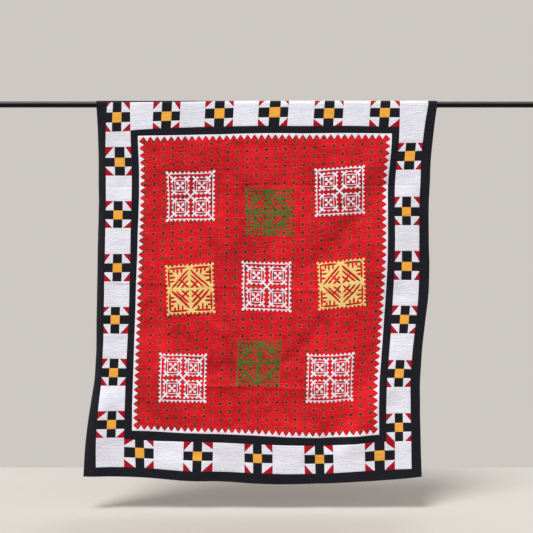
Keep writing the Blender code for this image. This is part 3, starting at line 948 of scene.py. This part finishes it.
# The dark borders: between which seams of the flat quilt each of their strips lies, across and
# down, and the piece that it hangs from
DARK_FADING_AND_SHADE = 0.16
BORDERS = {
    "inner_border": {
        "top": ((2, 5), (2, 3), "patchwork_top"),
        "bottom": ((2, 5), (4, 5), "centre_panel"),
        "left": ((2, 3), (3, 4), "inner_border_top"),
        "right": ((4, 5), (3, 4), "inner_border_top"),
    },
    "outer_border": {
        "top": ((0, 7), (0, 1), "rod_left"),
        "bottom": ((0, 7), (6, 7), "patchwork_bottom"),
        "left": ((0, 1), (1, 6), "rod_left"),
        "right": ((6, 7), (1, 6), "rod_right"),
    },
}


def dark_border(context, border, seed):
    """The four strips of one of the dark borders."""
    quilt, colours = context.scene.quilt_sizes, context.scene.quilt_colours
    cloth = plain_cotton(f"{border}_cloth", colours.black, quilt, DARK_FADING_AND_SHADE, seed)
    cloths = [cloth, backing_cotton(context)]
    for side, (across, down, above) in BORDERS[border].items():
        plain_strip(f"{border}_{side}", across, down, cloths, quilt)


def patch_corner_cloth(white, crimson, quilt):
    """A half-square patch: a crimson triangle at its outer corner, white for the rest, with painted shade
    along the diagonal seam.
    """
    finish = Finish("patch_corner")
    a, b = finish.flat("patch")
    reach = a + b
    colour = finish.mix(finish.below(reach, 1.0, 0.012), white, crimson)
    # Painted shade: the colour is darker along the diagonal seam, where its groove lies in shade
    seam = finish.below(abs(reach - 1.0), 0.012, 0.03)
    colour = finish.shade(colour, 1.0 - seam * 0.3)
    return cotton(finish, colour, quilt, 0.09, seed=5.0)


def rod_paint(colours):
    """Satin paint on steel, with fine orange peel and a lighter band on top: a little dust and a painted
    highlight of the light from above.
    """
    finish = Finish("rod_paint")
    place = finish.node("ShaderNodeTexCoord", out=3)
    peel = finish.node("ShaderNodeTexNoise", None, {"Vector": place, "Scale": 420.0, "Detail": 2.0})
    cloud = finish.node("ShaderNodeTexNoise", None, {"Vector": place, "Scale": 9.0, "Detail": 4.0})
    up = finish.node("ShaderNodeSeparateXYZ", None,
                     {0: finish.node("ShaderNodeNewGeometry", out=1)}, out=2)
    # Lighter where the surface faces up: dust, and a painted highlight of the light from above
    dust_and_highlight = finish.math("MULTIPLY", up - 0.08, 6.0, clamp=True) * (0.6 + cloud * 0.8)
    colour = finish.mix(dust_and_highlight * 0.22, colours.paint, srgb(150, 148, 152))
    finish.set_plain({"Metallic": 0.0, "Specular IOR Level": LOW_SHINE})
    return finish.join(colour, 0.36 + dust_and_highlight * 0.1 + (cloud - 0.5) * 0.12, peel * (0.02 * MM))


def rod_profile(rod):
    """The rod's outline from its middle to one end: distance along and radius."""
    end, radius = ROD_HALF_LENGTH, ROD_RADIUS
    plug = end - ROD_PLUG_LENGTH
    groove = rod.plug_groove / 2
    profile = [(0, 0), (0, radius), (end / 2, radius), (plug - groove, radius),
               (plug, radius - groove), (plug + groove, radius)]
    for step in range(ROD_ROUND_STEPS + 1):
        turn = math.pi / 2 * step / ROD_ROUND_STEPS
        profile.append((end - rod.edge_round * (1 - math.sin(turn)),
                        radius - rod.edge_round * (1 - math.cos(turn))))
    return [*profile, (end, 0)]


def rod_half(name, side, rod, paint):
    """One half of the rod, from the middle of the quilt's fold to its end."""
    bm = bmesh.new()
    profile = [bm.verts.new((side * along, 0, radius)) for along, radius in rod_profile(rod)]
    edges = [bm.edges.new(pair) for pair in zip(profile, profile[1:])]
    bmesh.ops.spin(bm, geom=[*profile, *edges], cent=(0, 0, 0), axis=(1, 0, 0),
                   angle=math.tau, steps=ROD_FACETS, use_merge=True)
    bmesh.ops.remove_doubles(bm, verts=bm.verts, dist=0.01 * MM)
    bmesh.ops.recalc_face_normals(bm, faces=bm.faces)
    mesh = bpy.data.meshes.new(name)
    bm.to_mesh(mesh)
    bm.free()
    return show_mesh(name, mesh, [paint], ROD_EDGE_ANGLE)


# A tooth with a soft tip: shares of its width along and of its depth outwards
TOOTH = ((0, 0), (0.25, 0.42), (0.44, 0.92), (0.5, 1), (0.56, 0.92), (0.75, 0.42))


def rounded_tooth(start, end, depth):
    """A tooth between two places: pairs of distance along and distance out."""
    return [(start + (end - start) * a, depth * d) for a, d in TOOTH]


def saw_outline(length, teeth, corners_too):
    """One strip of the sawtooth edging: pairs of distance along and distance in.

    Level strips fill the corners with a slanting edge. Upright ones stop short of them.
    """
    pitch = (length - 2 * SAW_CORNER) / teeth
    inset = 0 if corners_too else SAW_BASE
    outline = [(inset, 0), (inset, SAW_BASE)]
    if corners_too:
        outline.extend([(SAW_BASE, SAW_BASE), (SAW_BASE, SAW_CORNER)])
    for tooth in range(teeth):
        start = SAW_CORNER + tooth * pitch
        outline.extend((a, SAW_BASE + d) for a, d in rounded_tooth(start, start + pitch, SAW_DEPTH))
    outline.append((length - SAW_CORNER, SAW_BASE))
    if corners_too:
        outline.extend([(length - SAW_BASE, SAW_CORNER), (length - SAW_BASE, SAW_BASE)])
    return [*outline, (length - inset, SAW_BASE), (length - inset, 0)]


# A corner petal: shares of its length outwards and of its width to each side. Both are shares of
# a tooth's depth. A share of a tooth's width stays free beside it.
PETAL = ((0, -0.3), (0.35, -0.52), (0.8, -0.5), (1, -0.2), (1, 0.2), (0.8, 0.5), (0.35, 0.52), (0, 0.3))
PETAL_LENGTH, PETAL_WIDTH = 1.28, 1.12
CORNER_SPARE = 0.18


def toothed_square(half, teeth, depth):
    """A square about its middle with teeth along its sides and a blunt petal at each corner."""
    base = half - depth
    pitch = 2 * base / (teeth + 2 * CORNER_SPARE)
    slant = math.sqrt(0.5)
    side = []
    for along, across in PETAL:
        out, over = along * depth * PETAL_LENGTH * slant, across * depth * PETAL_WIDTH * slant
        side.append((over - base - out, base + out + over))
    for tooth in range(teeth):
        start = -base + (tooth + CORNER_SPARE) * pitch
        side.extend((a, base + d) for a, d in rounded_tooth(start, start + pitch, depth))
    side.append((base - CORNER_SPARE * pitch, base))
    return [place for turn in range(4) for place in quarter_turned(side, turn)]


def bar(start, end, width, bow=0.0, steps=6):
    """A long narrow shape with round ends, bowed a little to its left."""
    (x0, y0), (x1, y1) = start, end
    length = math.hypot(x1 - x0, y1 - y0)
    along = ((x1 - x0) / length, (y1 - y0) / length)
    left = (-along[1], along[0])
    upper, lower = [], []
    for step in range(steps + 1):
        t = step / steps
        half = width / 2 * (0.45 if step in (0, steps) else 1)
        lift = bow * (1 - (2 * t - 1) ** 2)
        for points, offset in ((upper, lift + half), (lower, lift - half)):
            points.append((x0 + along[0] * t * length + left[0] * offset,
                           y0 + along[1] * t * length + left[1] * offset))
    return upper + lower[::-1]


def disc(x, y, radius, sides=12):
    """A round shape."""
    return [(x + radius * math.cos(math.tau * k / sides), y + radius * math.sin(math.tau * k / sides))
            for k in range(sides)]


def barrel_square(half, bulge=0.0):
    """A square about its middle whose sides bulge a little."""
    side = [(half * t, half + bulge * (1 - t * t)) for t in (-1, -0.6, -0.2, 0.2, 0.6)]
    return [place for turn in range(4) for place in quarter_turned(side, turn)]


def moved(shape, x, y):
    """A shape shifted by x and y."""
    return [(a + x, b + y) for a, b in shape]


def quarter_turned(shape, turn):
    """A shape turned by so many right angles."""
    cosine, sine = round(math.cos(turn * math.pi / 2)), round(math.sin(turn * math.pi / 2))
    return [(cosine * a + sine * b, -sine * a + cosine * b) for a, b in shape]


# The white squares, as shares of their width: four small toothed squares in a frame
FRAME_INSIDE = 0.446
QUADRANT_MIDDLE = 0.218
QUADRANT_HALF = 0.192
QUADRANT_TEETH = 3
QUADRANT_TOOTH = 0.037
RING_SLIT_MIDDLE = 0.125
RING_SLIT_HALF = 0.103
SLIT_WIDTH = 0.041
HEART_HALF = 0.093
CROSS_ARM = 0.022
BLOB_PLACE = 0.050
BLOB_RADIUS = 0.029
BRIDGE_WIDTH = 0.030
BRIDGE_OVERLAP = 0.02
QUADRANT_ASTRAY = 0.006
SLIT_BOW = 0.010
HEART_BULGE = 0.008


def white_pattern(quilt, depth, chance):
    """Shapes of a white cut square in cutting order: each adds or takes away cloth."""
    reach = FRAME_INSIDE + BRIDGE_OVERLAP
    shapes = [
        (toothed_square(0.5, quilt.square_teeth, depth), True),
        (barrel_square(FRAME_INSIDE), False),
        (bar((-reach, -reach), (reach, reach), BRIDGE_WIDTH), True),
        (bar((-reach, reach), (reach, -reach), BRIDGE_WIDTH), True),
    ]
    for side_x in (-1, 1):
        for side_y in (-1, 1):
            x = side_x * QUADRANT_MIDDLE + chance.uniform(-QUADRANT_ASTRAY, QUADRANT_ASTRAY)
            y = side_y * QUADRANT_MIDDLE + chance.uniform(-QUADRANT_ASTRAY, QUADRANT_ASTRAY)
            inside = [(toothed_square(QUADRANT_HALF, QUADRANT_TEETH, QUADRANT_TOOTH), True)]
            for turn in range(4):
                slit = bar((-RING_SLIT_HALF, RING_SLIT_MIDDLE), (RING_SLIT_HALF, RING_SLIT_MIDDLE),
                           SLIT_WIDTH * chance.uniform(0.9, 1.1), SLIT_BOW)
                inside.append((quarter_turned(slit, turn), False))
            inside.append((barrel_square(HEART_HALF, HEART_BULGE), False))
            for turn in (0, 1):
                arm = bar((-BLOB_PLACE, -BLOB_PLACE), (BLOB_PLACE, BLOB_PLACE), CROSS_ARM)
                inside.append((quarter_turned(arm, turn), True))
            for blob_x in (-BLOB_PLACE, BLOB_PLACE):
                for blob_y in (-BLOB_PLACE, BLOB_PLACE):
                    blob = disc(blob_x, blob_y, BLOB_RADIUS * chance.uniform(0.88, 1.08))
                    inside.append((blob, True))
            shapes.extend((moved(shape, x, y), keeps) for shape, keeps in inside)
    return shapes


# The coloured squares, as shares of their width: slits along the sides, combs in the corners
# and diamonds one inside another, with a cross of slits through them
SIDE_SLIT_PLACE = 0.424
SIDE_BRIDGE = 0.072
COMBS = ((0.324, 0.338), (0.246, 0.292), (0.163, 0.325))
DIAMONDS = ((0.392, 0.024, 0.048), (0.292, 0.028, 0.044), (0.176, 0.022, 0.041))
CROSS_START, CROSS_END = 0.022, 0.190


def diamond_pattern(quilt, depth, chance):
    """Shapes of a yellow or green cut square in cutting order."""
    shapes = [(toothed_square(0.5, quilt.square_teeth, depth), True)]

    def near(value, spread=0.008):
        return value + chance.uniform(-spread, spread)

    for turn in range(4):
        slits = []
        for side in (-1, 1):
            slits.append(bar((side * SIDE_SLIT_PLACE, -SIDE_SLIT_PLACE),
                             (side * near(SIDE_BRIDGE, 0.02), -near(SIDE_SLIT_PLACE)), SLIT_WIDTH))
            for place, depth_in in COMBS:
                x = side * near(place, 0.006)
                slits.append(bar((x, -SIDE_SLIT_PLACE), (near(x, 0.006), -near(depth_in, 0.012)),
                                 SLIT_WIDTH * chance.uniform(0.95, 1.2), steps=3))
        for half, gap, width in DIAMONDS:
            start = (-near(gap, 0.006), -near(half - gap * 0.4, 0.006))
            end = (-near(half - gap * 0.4, 0.006), -near(gap, 0.006))
            slits.append(bar(start, end, width * chance.uniform(0.85, 1.1), bow=near(0, 0.006)))
        start, end = near(CROSS_START, 0.004), near(CROSS_END, 0.016)
        slits.append(bar((-start, -start), (-end, -end), SLIT_WIDTH))
        shapes.extend((quarter_turned(slit, turn), False) for slit in slits)
    return shapes


# The wander of hand cutting: how far and over what size
HAND_CUTTING_MM = ((3.0, 95), (1.1, 32))


def placed_on_panel(shape, square, seed):
    """A square's shape laid on the flat panel, with the wander of hand cutting."""
    a, b = np.array(shape).T
    a, b = a * square["width_mm"] * MM, b * square["height_mm"] * MM
    tilt, lean = math.radians(square["tilt"]), math.radians(square["lean"])
    u = square["u_mm"] * MM + a * math.cos(tilt) - b * math.sin(lean)
    v = square["v_mm"] * MM + a * math.sin(tilt) + b * math.cos(lean)
    for step, (far, size) in enumerate(HAND_CUTTING_MM):
        astray_u = far * MM * uneven(u, v, size * MM, seed + step)
        v = v + far * MM * uneven(u, v, size * MM, seed + step + 10)
        u = u + astray_u
    return np.stack([u, v], axis=1)


def turned_left(points):
    """The same outline, run round so that its area counts as positive."""
    x, y = points.T
    area = np.sum(x * np.roll(y, -1) - np.roll(x, -1) * y)
    return points if area > 0 else points[::-1]


def cut_cloth(name, shapes, cloth, quilt):
    """A thin cut cloth on the panel's face, on the panel's own mesh lines. Gives its flat area.

    The shapes add and take away cloth in order, so the last one over a spot decides.
    """
    loops = [turned_left(np.asarray(shape)) for shape, _ in shapes]
    keeps = [keep for _, keep in shapes]
    outline = loops[0]
    flat = [Vector(p) for loop in loops for p in loop]
    faces, start = [], 0
    for loop in loops:
        faces.append(list(range(start, start + len(loop))))
        start += len(loop)
    lines = []
    for axis, step in enumerate((PANEL_STEP_U, quilt.row_pitch / ROW_STEPS)):
        low, high = outline[:, axis].min(), outline[:, axis].max()
        lines.append([p for p in panel_lines(quilt)[axis] if low - step < p < high + step])
    edges, rows = [], len(lines[1])
    first = len(flat)
    for i, u in enumerate(lines[0]):
        for j, v in enumerate(lines[1]):
            flat.append(Vector((u, v)))
            here = first + i * rows + j
            if i:
                edges.append((here - rows, here))
            if j:
                edges.append((here - 1, here))
    points, _, triangles, _, _, sources = delaunay_2d_cdt(flat, edges, faces, 0, 0.0001 * MM)
    kept = [tuple(t) for t, source in zip(triangles, sources) if source and keeps[max(source)]]
    if not kept:
        raise RuntimeError(f"{name}: nothing is left of the cloth after its cuts")
    used = np.unique(np.array(kept))
    place = np.full(len(points), -1)
    place[used] = np.arange(len(used))
    kept = place[np.array(kept)]
    u, v = np.array([tuple(points[k]) for k in used]).T
    a, b, c = (np.stack([u[kept[:, k]], v[kept[:, k]]], axis=1) for k in range(3))
    doubled = (b - a)[:, 0] * (c - a)[:, 1] - (b - a)[:, 1] * (c - a)[:, 0]
    kept = np.where((doubled > 0)[:, None], kept[:, ::-1], kept)
    return build_cut_cloth(name, u, v, kept, cloth, quilt), float(np.abs(doubled).sum() / 2)


# How much thinner a cut cloth is at its edge, and the gap between it and the panel
EDGE_TURNED_UNDER = 0.35
SEWN_ON_GAP = 0.1 * MM


def build_cut_cloth(name, u, v, triangles, cloth, quilt):
    """The mesh of a cut cloth, its edges turned under."""
    directed = np.concatenate([triangles[:, [0, 1]], triangles[:, [1, 2]], triangles[:, [2, 0]]])
    known = {(a, b) for a, b in directed.tolist()}
    rim = sorted((a, b) for a, b in known if (b, a) not in known)
    at_edge = np.zeros(len(u))
    at_edge[[a for a, _ in rim]] = 1
    face = panel_face(quilt, u, v)
    rise = quilt.sewn_on_thickness * (1 - EDGE_TURNED_UNDER * at_edge)
    top, bottom = hang(u, v, [face + rise, face + SEWN_ON_GAP])
    count = len(u)
    faces = triangles.tolist() + (triangles[:, ::-1] + count).tolist()
    faces += [[b, a, a + count, b + count] for a, b in rim]
    made = show_faces(f"{name}_cloth", np.concatenate([top, bottom]), faces, [cloth])
    vertex, _, _ = corners(made.data)
    set_map(made.data, "flat", np.stack([np.tile(u, 2), np.tile(v, 2)], axis=1)[vertex])
    return made


class PatchworkStrip:
    """A patchwork strip: nine-patch blocks with plain white blocks between them."""

    def __init__(self, side):
        self.side = side
        self.upright = side in ("left", "right")
        self.blocks = [{name: value * MM for name, value in zip(NINE_PATCH_COLUMNS, row)}
                       for row in NINE_PATCHES_MM[side]]
        across = {"left": [1, 2], "right": [5, 6], "top": [2, 5], "bottom": [2, 5]}[side]
        down = {"left": [1, 6], "right": [1, 6], "top": [1, 2], "bottom": [5, 6]}[side]
        self.low, self.high = np.array([SEAMS_U[across], SEAMS_V[down]]).T
        self.along, self.over = (1, 0) if self.upright else (0, 1)
        width = self.high[self.over] - self.low[self.over]
        self.lanes = self.low[self.over] + width * np.arange(4) / 3

    def lane_seams(self, along):
        """Where the two seams between the lanes lie, at places along the strip."""
        stations = [b[name] for b in self.blocks for name in ("start", "end")]
        seams = [[b[lane] for b in self.blocks for _ in range(2)] for lane in ("lane_1", "lane_2")]
        return [np.interp(along, stations, places) for places in seams]

    def flat_of(self, u, v):
        """Flat places from places on an even strip, whose lanes are equally wide."""
        along, over = (v, u) if self.upright else (u, v)
        first, second = self.lane_seams(along)
        ends = [np.full_like(first, self.lanes[0]), first, second, np.full_like(first, self.lanes[3])]
        over = between(over, self.lanes, np.stack(ends, axis=1))
        stations = [b[name] for b in self.blocks for name in ("middle_start", "middle_end")]
        leans = [b["lean"] for b in self.blocks for _ in range(2)]
        stations = [self.low[self.along], *stations, self.high[self.along]]
        share = (over - self.lanes[0]) / (self.lanes[3] - self.lanes[0]) - 0.5
        along = along + share * np.interp(along, stations, [0, *leans, 0])
        return (over, along) if self.upright else (along, over)

    def patches(self):
        """Every patch on the even strip: where it shows, its whole extent, kind and corner."""
        found = []
        place = self.low[self.along]
        for number, block in enumerate(self.blocks):
            self.add(found, (place, block["start"]), self.lanes[[0, 3]], "white")
            ends = [block["start"], block["middle_start"], block["middle_end"], block["end"]]
            for row in range(3):
                for lane in range(3):
                    kind = ("mustard", "black", "corner")[(row != 1) + (lane != 1)]
                    self.add(found, ends[row:row + 2], self.lanes[lane:lane + 2], kind,
                             (row // 2, lane // 2), TRIANGLES.get((self.side, number, row, lane)))
            place = block["end"]
        if self.side == "right":
            self.add_foot(found, place)
        else:
            self.add(found, (place, self.high[self.along]), self.lanes[[0, 3]], "white")
        return found

    def add(self, found, along, over, kind, corner=(0, 0), triangle=None):
        """One patch, unless it lies beyond the strip. Its crimson triangle's size varies."""
        ends = np.array([along, over] if not self.upright else [over, along])
        low, high = np.maximum(ends[:, 0], self.low), np.minimum(ends[:, 1], self.high)
        chance = np.random.default_rng(len(found) + TRIANGLE_SEED_STEP * len(self.side))
        shares = triangle or chance.uniform(*TRIANGLE_SHARES, 2)
        if np.all(high - low > MM):
            found.append({"low": low, "high": high, "whole": ends, "kind": kind, "shares": shares,
                          "corner": corner[::-1] if self.upright else corner})

    def add_foot(self, found, place):
        """The foot of the right strip, where the bottom strip's last block runs on."""
        bottom = dict(zip(NINE_PATCH_COLUMNS, NINE_PATCHES_MM["bottom"][-1]))
        ends = [SEAMS_V[5], bottom["lane_1"] * MM, bottom["lane_2"] * MM, SEAMS_V[6]]
        self.add(found, (place, ends[0]), self.lanes[[0, 3]], "white")
        for row, kind in enumerate(("corner", "black", "corner")):
            over = (bottom["middle_end"] * MM, self.lanes[1])
            self.add(found, ends[row:row + 2], over, kind, (row // 2, 1), FOOT_TRIANGLE)
        self.add(found, (ends[0], ends[3]), self.lanes[[1, 3]], "white")

    def build(self, quilt, cloths, rests_on):
        """The strip as one sewn sheet, each patch in its own cloth."""
        patches = self.patches()
        marks = [sorted({p[end][axis] for p in patches for end in ("low", "high")
                         if self.low[axis] + MM < p[end][axis] < self.high[axis] - MM})
                 for axis in (0, 1)]
        us = mesh_lines(self.low[0], self.high[0], STRIP_STEP_U, marks[0])
        vs = mesh_lines(self.low[1], self.high[1], quilt.row_pitch / ROW_STEPS, marks[1])
        strip = Strip(us, vs)
        fall = self.seam_fall(strip.u, strip.v, patches)

        def hem_fall(u, v):
            return turned_down(from_edges(u, v, self.low, self.high), HEM_FALL)

        def face_lift(u, v):
            return padding(quilt, u, v) - np.maximum(hem_fall(u, v), fall)

        def back_lift(u, v):
            return padding(quilt, u, v) - hem_fall(u, v)

        name = f"patchwork_{self.side}"
        made = strip.build(name, cloths, face_lift, back_lift, self.flat_of)
        self.dress(made.data, strip, patches)
        ride_and_declare(made, name)

    def seam_fall(self, u, v, patches):
        """How much lower the face lies near the seams between patches."""
        fall = np.zeros_like(u)
        for patch in patches:
            edge = from_edges(u, v, patch["low"], patch["high"])
            inside = edge > -0.01 * MM
            fall[inside] = np.maximum(fall[inside], turned_down(edge[inside], PATCH_FALL))
        return fall

    def dress(self, mesh, strip, patches):
        """Gives each face of the front its patch's cloth and its place in the patch."""
        places = strip.places[strip.vertex]
        totals = np.diff(np.append(strip.starts, len(strip.vertex)))
        middles = np.add.reduceat(places, strip.starts, axis=0) / totals[:, None]
        worn = np.where(strip.kinds == "back", len(PATCH_KINDS), 0).astype(np.int32)
        local = np.zeros_like(places)
        for patch in patches:
            inside = np.all((middles > patch["low"]) & (middles < patch["high"]), axis=1)
            inside &= strip.kinds != "back"
            worn[inside] = PATCH_KINDS.index(patch["kind"])
            chosen = inside[strip.face]
            low, high = patch["whole"].T
            share = (places[chosen] - low) / (high - low)
            from_corner = np.where(np.array(patch["corner"]) > 0, 1 - share, share)
            local[chosen] = from_corner / np.array(patch["shares"])
        mesh.polygons.foreach_set("material_index", worn)
        set_map(mesh, "patch", local)


class QUILT_OT_rod(bpy.types.Operator):
    """Build the rod that the quilt hangs on"""

    bl_idname = "quilt.rod"
    bl_label = "Rod"

    def execute(self, context):
        rod = context.scene.rod_choices
        paint = rod_paint(rod)
        for name, side in (("rod_left", -1), ("rod_right", 1)):
            made = rod_half(name, side, rod, paint)
            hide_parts("rod")
            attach(made, "root")
        return {"FINISHED"}


class QUILT_OT_centre_panel(bpy.types.Operator):
    """Build the printed and quilted red panel"""

    bl_idname = "quilt.centre_panel"
    bl_label = "Centre panel"

    def execute(self, context):
        quilt = context.scene.quilt_sizes
        cloth = red_print(context.scene.quilt_colours, quilt)

        def lift(u, v):
            return panel_face(quilt, u, v)

        cloths = [cloth, backing_cotton(context)]
        made = Strip(*panel_lines(quilt)).build("centre_panel", cloths, lift, lift)
        ride_and_declare(made, "centre_panel")
        return {"FINISHED"}


class QUILT_OT_sawtooth(bpy.types.Operator):
    """Build the four strips of white sawtooth edging"""

    bl_idname = "quilt.sawtooth"
    bl_label = "Sawtooth edging"

    def execute(self, context):
        quilt = context.scene.quilt_sizes
        cloth = plain_cotton("edging_white", context.scene.quilt_colours.white, quilt, seed=2.0)
        (left, top), (right, bottom) = PANEL_LOW, PANEL_HIGH
        across, down = right - left, bottom - top
        level = saw_outline(across, SAW_TEETH_ACROSS, True)
        upright = saw_outline(down, SAW_TEETH_DOWN, False)
        strips = {
            "top": [(left + a, top + d) for a, d in level],
            "bottom": [(left + a, bottom - d) for a, d in level],
            "left": [(left + d, top + a) for a, d in upright],
            "right": [(right - d, top + a) for a, d in upright],
        }
        for side, outline in strips.items():
            name = f"sawtooth_{side}"
            made, area = cut_cloth(name, [(outline, True)], cloth, quilt)
            ride_and_declare(made, name)
        return {"FINISHED"}


class QUILT_OT_cut_squares(bpy.types.Operator):
    """Build the nine cut squares that are sewn on the panel"""

    bl_idname = "quilt.cut_squares"
    bl_label = "Cut squares"

    FADING_AND_SHADE = {"white": 0.1, "yellow": 0.12, "green": 0.26}
    CUTTING_SEED, WANDER_SEED, WANDER_SEED_STEP = 100, 200, 20

    def execute(self, context):
        quilt, colours = context.scene.quilt_sizes, context.scene.quilt_colours
        cloths = {name: plain_cotton(f"square_{name}_cloth", getattr(colours, name), quilt, share, seed)
                  for seed, (name, share) in enumerate(self.FADING_AND_SHADE.items(), start=3)}
        for number, row in enumerate(SQUARES):
            square = dict(zip(SQUARE_COLUMNS, row))
            chance = np.random.default_rng(self.CUTTING_SEED + number)
            depth = quilt.tooth_depth / (square["width_mm"] * MM)
            pattern = white_pattern if square["cloth"] == "white" else diamond_pattern
            seed = self.WANDER_SEED + number * self.WANDER_SEED_STEP
            shapes = [(placed_on_panel(shape, square, seed), keeps)
                      for shape, keeps in pattern(quilt, depth, chance)]
            name = f"square_{square['name']}"
            made, area = cut_cloth(name, shapes, cloths[square["cloth"]], quilt)
            ride_and_declare(made, name)
        return {"FINISHED"}


class QUILT_OT_inner_border(bpy.types.Operator):
    """Build the narrow dark border round the panel"""

    bl_idname = "quilt.inner_border"
    bl_label = "Inner border"

    def execute(self, context):
        dark_border(context, "inner_border", 7.0)
        return {"FINISHED"}


class QUILT_OT_patchwork(bpy.types.Operator):
    """Build the patchwork border"""

    bl_idname = "quilt.patchwork"
    bl_label = "Patchwork border"

    def execute(self, context):
        quilt, colours = context.scene.quilt_sizes, context.scene.quilt_colours
        white = [part * PATCH_WHITE for part in colours.white]
        cloths = [
            plain_cotton("patch_white", white, quilt, 0.1, 8.0),
            plain_cotton("patch_black", colours.black, quilt, 0.16, 9.0),
            plain_cotton("patch_mustard", colours.mustard, quilt, 0.12, 10.0),
            patch_corner_cloth(white, colours.crimson, quilt),
            backing_cotton(context),
        ]
        for side, above in (("top", "rod_left"), ("bottom", "inner_border_bottom"),
                            ("left", "rod_left"), ("right", "rod_right")):
            PatchworkStrip(side).build(quilt, cloths, [above])
        return {"FINISHED"}


class QUILT_OT_outer_border(bpy.types.Operator):
    """Build the dark outer border"""

    bl_idname = "quilt.outer_border"
    bl_label = "Outer border"

    def execute(self, context):
        dark_border(context, "outer_border", 12.0)
        return {"FINISHED"}


def floor_plane(stage):
    """A pale floor below the hem that ends a little way behind the quilt."""
    level = CAD_BOX[0][2] - stage.floor_drop
    near, far, side = -9.0, 1.25, 9.0
    points = [(-side, near, level), (side, near, level), (side, far, level), (-side, far, level)]
    made = show_faces("floor", points, [(0, 1, 2, 3)], [])
    finish = Finish("floor_screed")
    place = finish.node("ShaderNodeTexCoord", out=3)
    cloud = finish.node("ShaderNodeTexNoise", None, {"Vector": place, "Scale": 1.4, "Detail": 6.0})
    colour = finish.shade(finish.colour(stage.floor_colour), 0.96 + cloud * 0.08)
    made.data.materials.append(finish.join(colour, 0.8, cloud * (0.2 * MM)))


def soft_light(name, towards, strength, spread):
    """Even light from one direction, with soft shadows: the spread is in degrees."""
    lamp = bpy.data.lights.new(name, "SUN")
    lamp.energy, lamp.angle = strength, math.radians(spread)
    made = bpy.data.objects.new(name, lamp)
    made.location = Vector(towards) * 4
    made.rotation_euler = Vector(towards).to_track_quat("Z", "Y").to_euler()
    bpy.context.scene.collection.objects.link(made)


class QUILT_OT_stage(bpy.types.Operator):
    """Build the floor, the soft light and the camera"""

    bl_idname = "quilt.stage"
    bl_label = "Stage"

    CAMERA_BELOW_AXIS = 1.0044
    SENSOR_MM = 36
    SKY_STRENGTH = 0.86
    # Where each light comes from, its strength, and its spread in degrees
    LIGHTS = {
        "key_light": ((-0.27, -0.43, 1.0), 3.2, 22),
        "back_light": ((0.3, 0.9, 0.8), 0.7, 40),
    }

    def execute(self, context):
        scene, stage = context.scene, context.scene.stage_choices
        floor_plane(stage)
        world = bpy.data.worlds.new("pale_light")
        world.use_nodes = True
        sky = world.node_tree.nodes["Background"]
        sky.inputs["Color"].default_value = (*stage.sky_colour, 1)
        sky.inputs["Strength"].default_value = self.SKY_STRENGTH
        scene.world = world
        for name, light in self.LIGHTS.items():
            soft_light(name, *light)
        lens = self.SENSOR_MM * stage.camera_distance / stage.view_width
        camera = bpy.data.cameras.new("camera")
        camera.sensor_width, camera.lens = self.SENSOR_MM, lens
        made = bpy.data.objects.new("camera", camera)
        made.location = (0, -stage.camera_distance, -self.CAMERA_BELOW_AXIS)
        made.rotation_euler = (math.pi / 2, 0, 0)
        scene.collection.objects.link(made)
        scene.camera = made
        scene.view_settings.view_transform = "Standard"
        return {"FINISHED"}


class QUILT_PT_panel(bpy.types.Panel):
    """Lists the pieces of the quilt and what can be changed"""

    bl_idname = "QUILT_PT_panel"
    bl_label = "Ralli quilt"
    bl_space_type = "VIEW_3D"
    bl_region_type = "UI"
    bl_category = "Ralli quilt"

    def draw(self, context):
        layout = self.layout
        for operator in BUILD_ORDER:
            layout.operator(operator.bl_idname)
        for name, group in CHOICES.items():
            box = layout.box()
            box.label(text=group.__doc__)
            for choice in group.__annotations__:
                box.prop(getattr(context.scene, name), choice)


CHOICES = {
    "quilt_sizes": QuiltSizes,
    "quilt_colours": QuiltColours,
    "rod_choices": RodChoices,
    "stage_choices": StageChoices,
}
BUILD_ORDER = (
    QUILT_OT_stage, QUILT_OT_rod, QUILT_OT_outer_border, QUILT_OT_patchwork,
    QUILT_OT_inner_border, QUILT_OT_centre_panel, QUILT_OT_sawtooth, QUILT_OT_cut_squares,
)


def register():
    """Makes the choices, the operators and the panel known."""
    for group in CHOICES.values():
        bpy.utils.register_class(group)
    for name, group in CHOICES.items():
        setattr(bpy.types.Scene, name, PointerProperty(type=group))
    for kind in (*BUILD_ORDER, QUILT_PT_panel):
        bpy.utils.register_class(kind)


def unregister():
    """Takes back what register made known."""
    for kind in (QUILT_PT_panel, *reversed(BUILD_ORDER)):
        bpy.utils.unregister_class(kind)
    for name, group in reversed(CHOICES.items()):
        delattr(bpy.types.Scene, name)
        bpy.utils.unregister_class(group)


def main():
    """Builds everything in order."""
    register()
    bpy.ops.quilt.stage()
    bpy.ops.quilt.rod()
    bpy.ops.quilt.outer_border()
    bpy.ops.quilt.patchwork()
    bpy.ops.quilt.inner_border()
    bpy.ops.quilt.centre_panel()
    bpy.ops.quilt.sawtooth()
    bpy.ops.quilt.cut_squares()


if __name__ == "__main__":
    main()
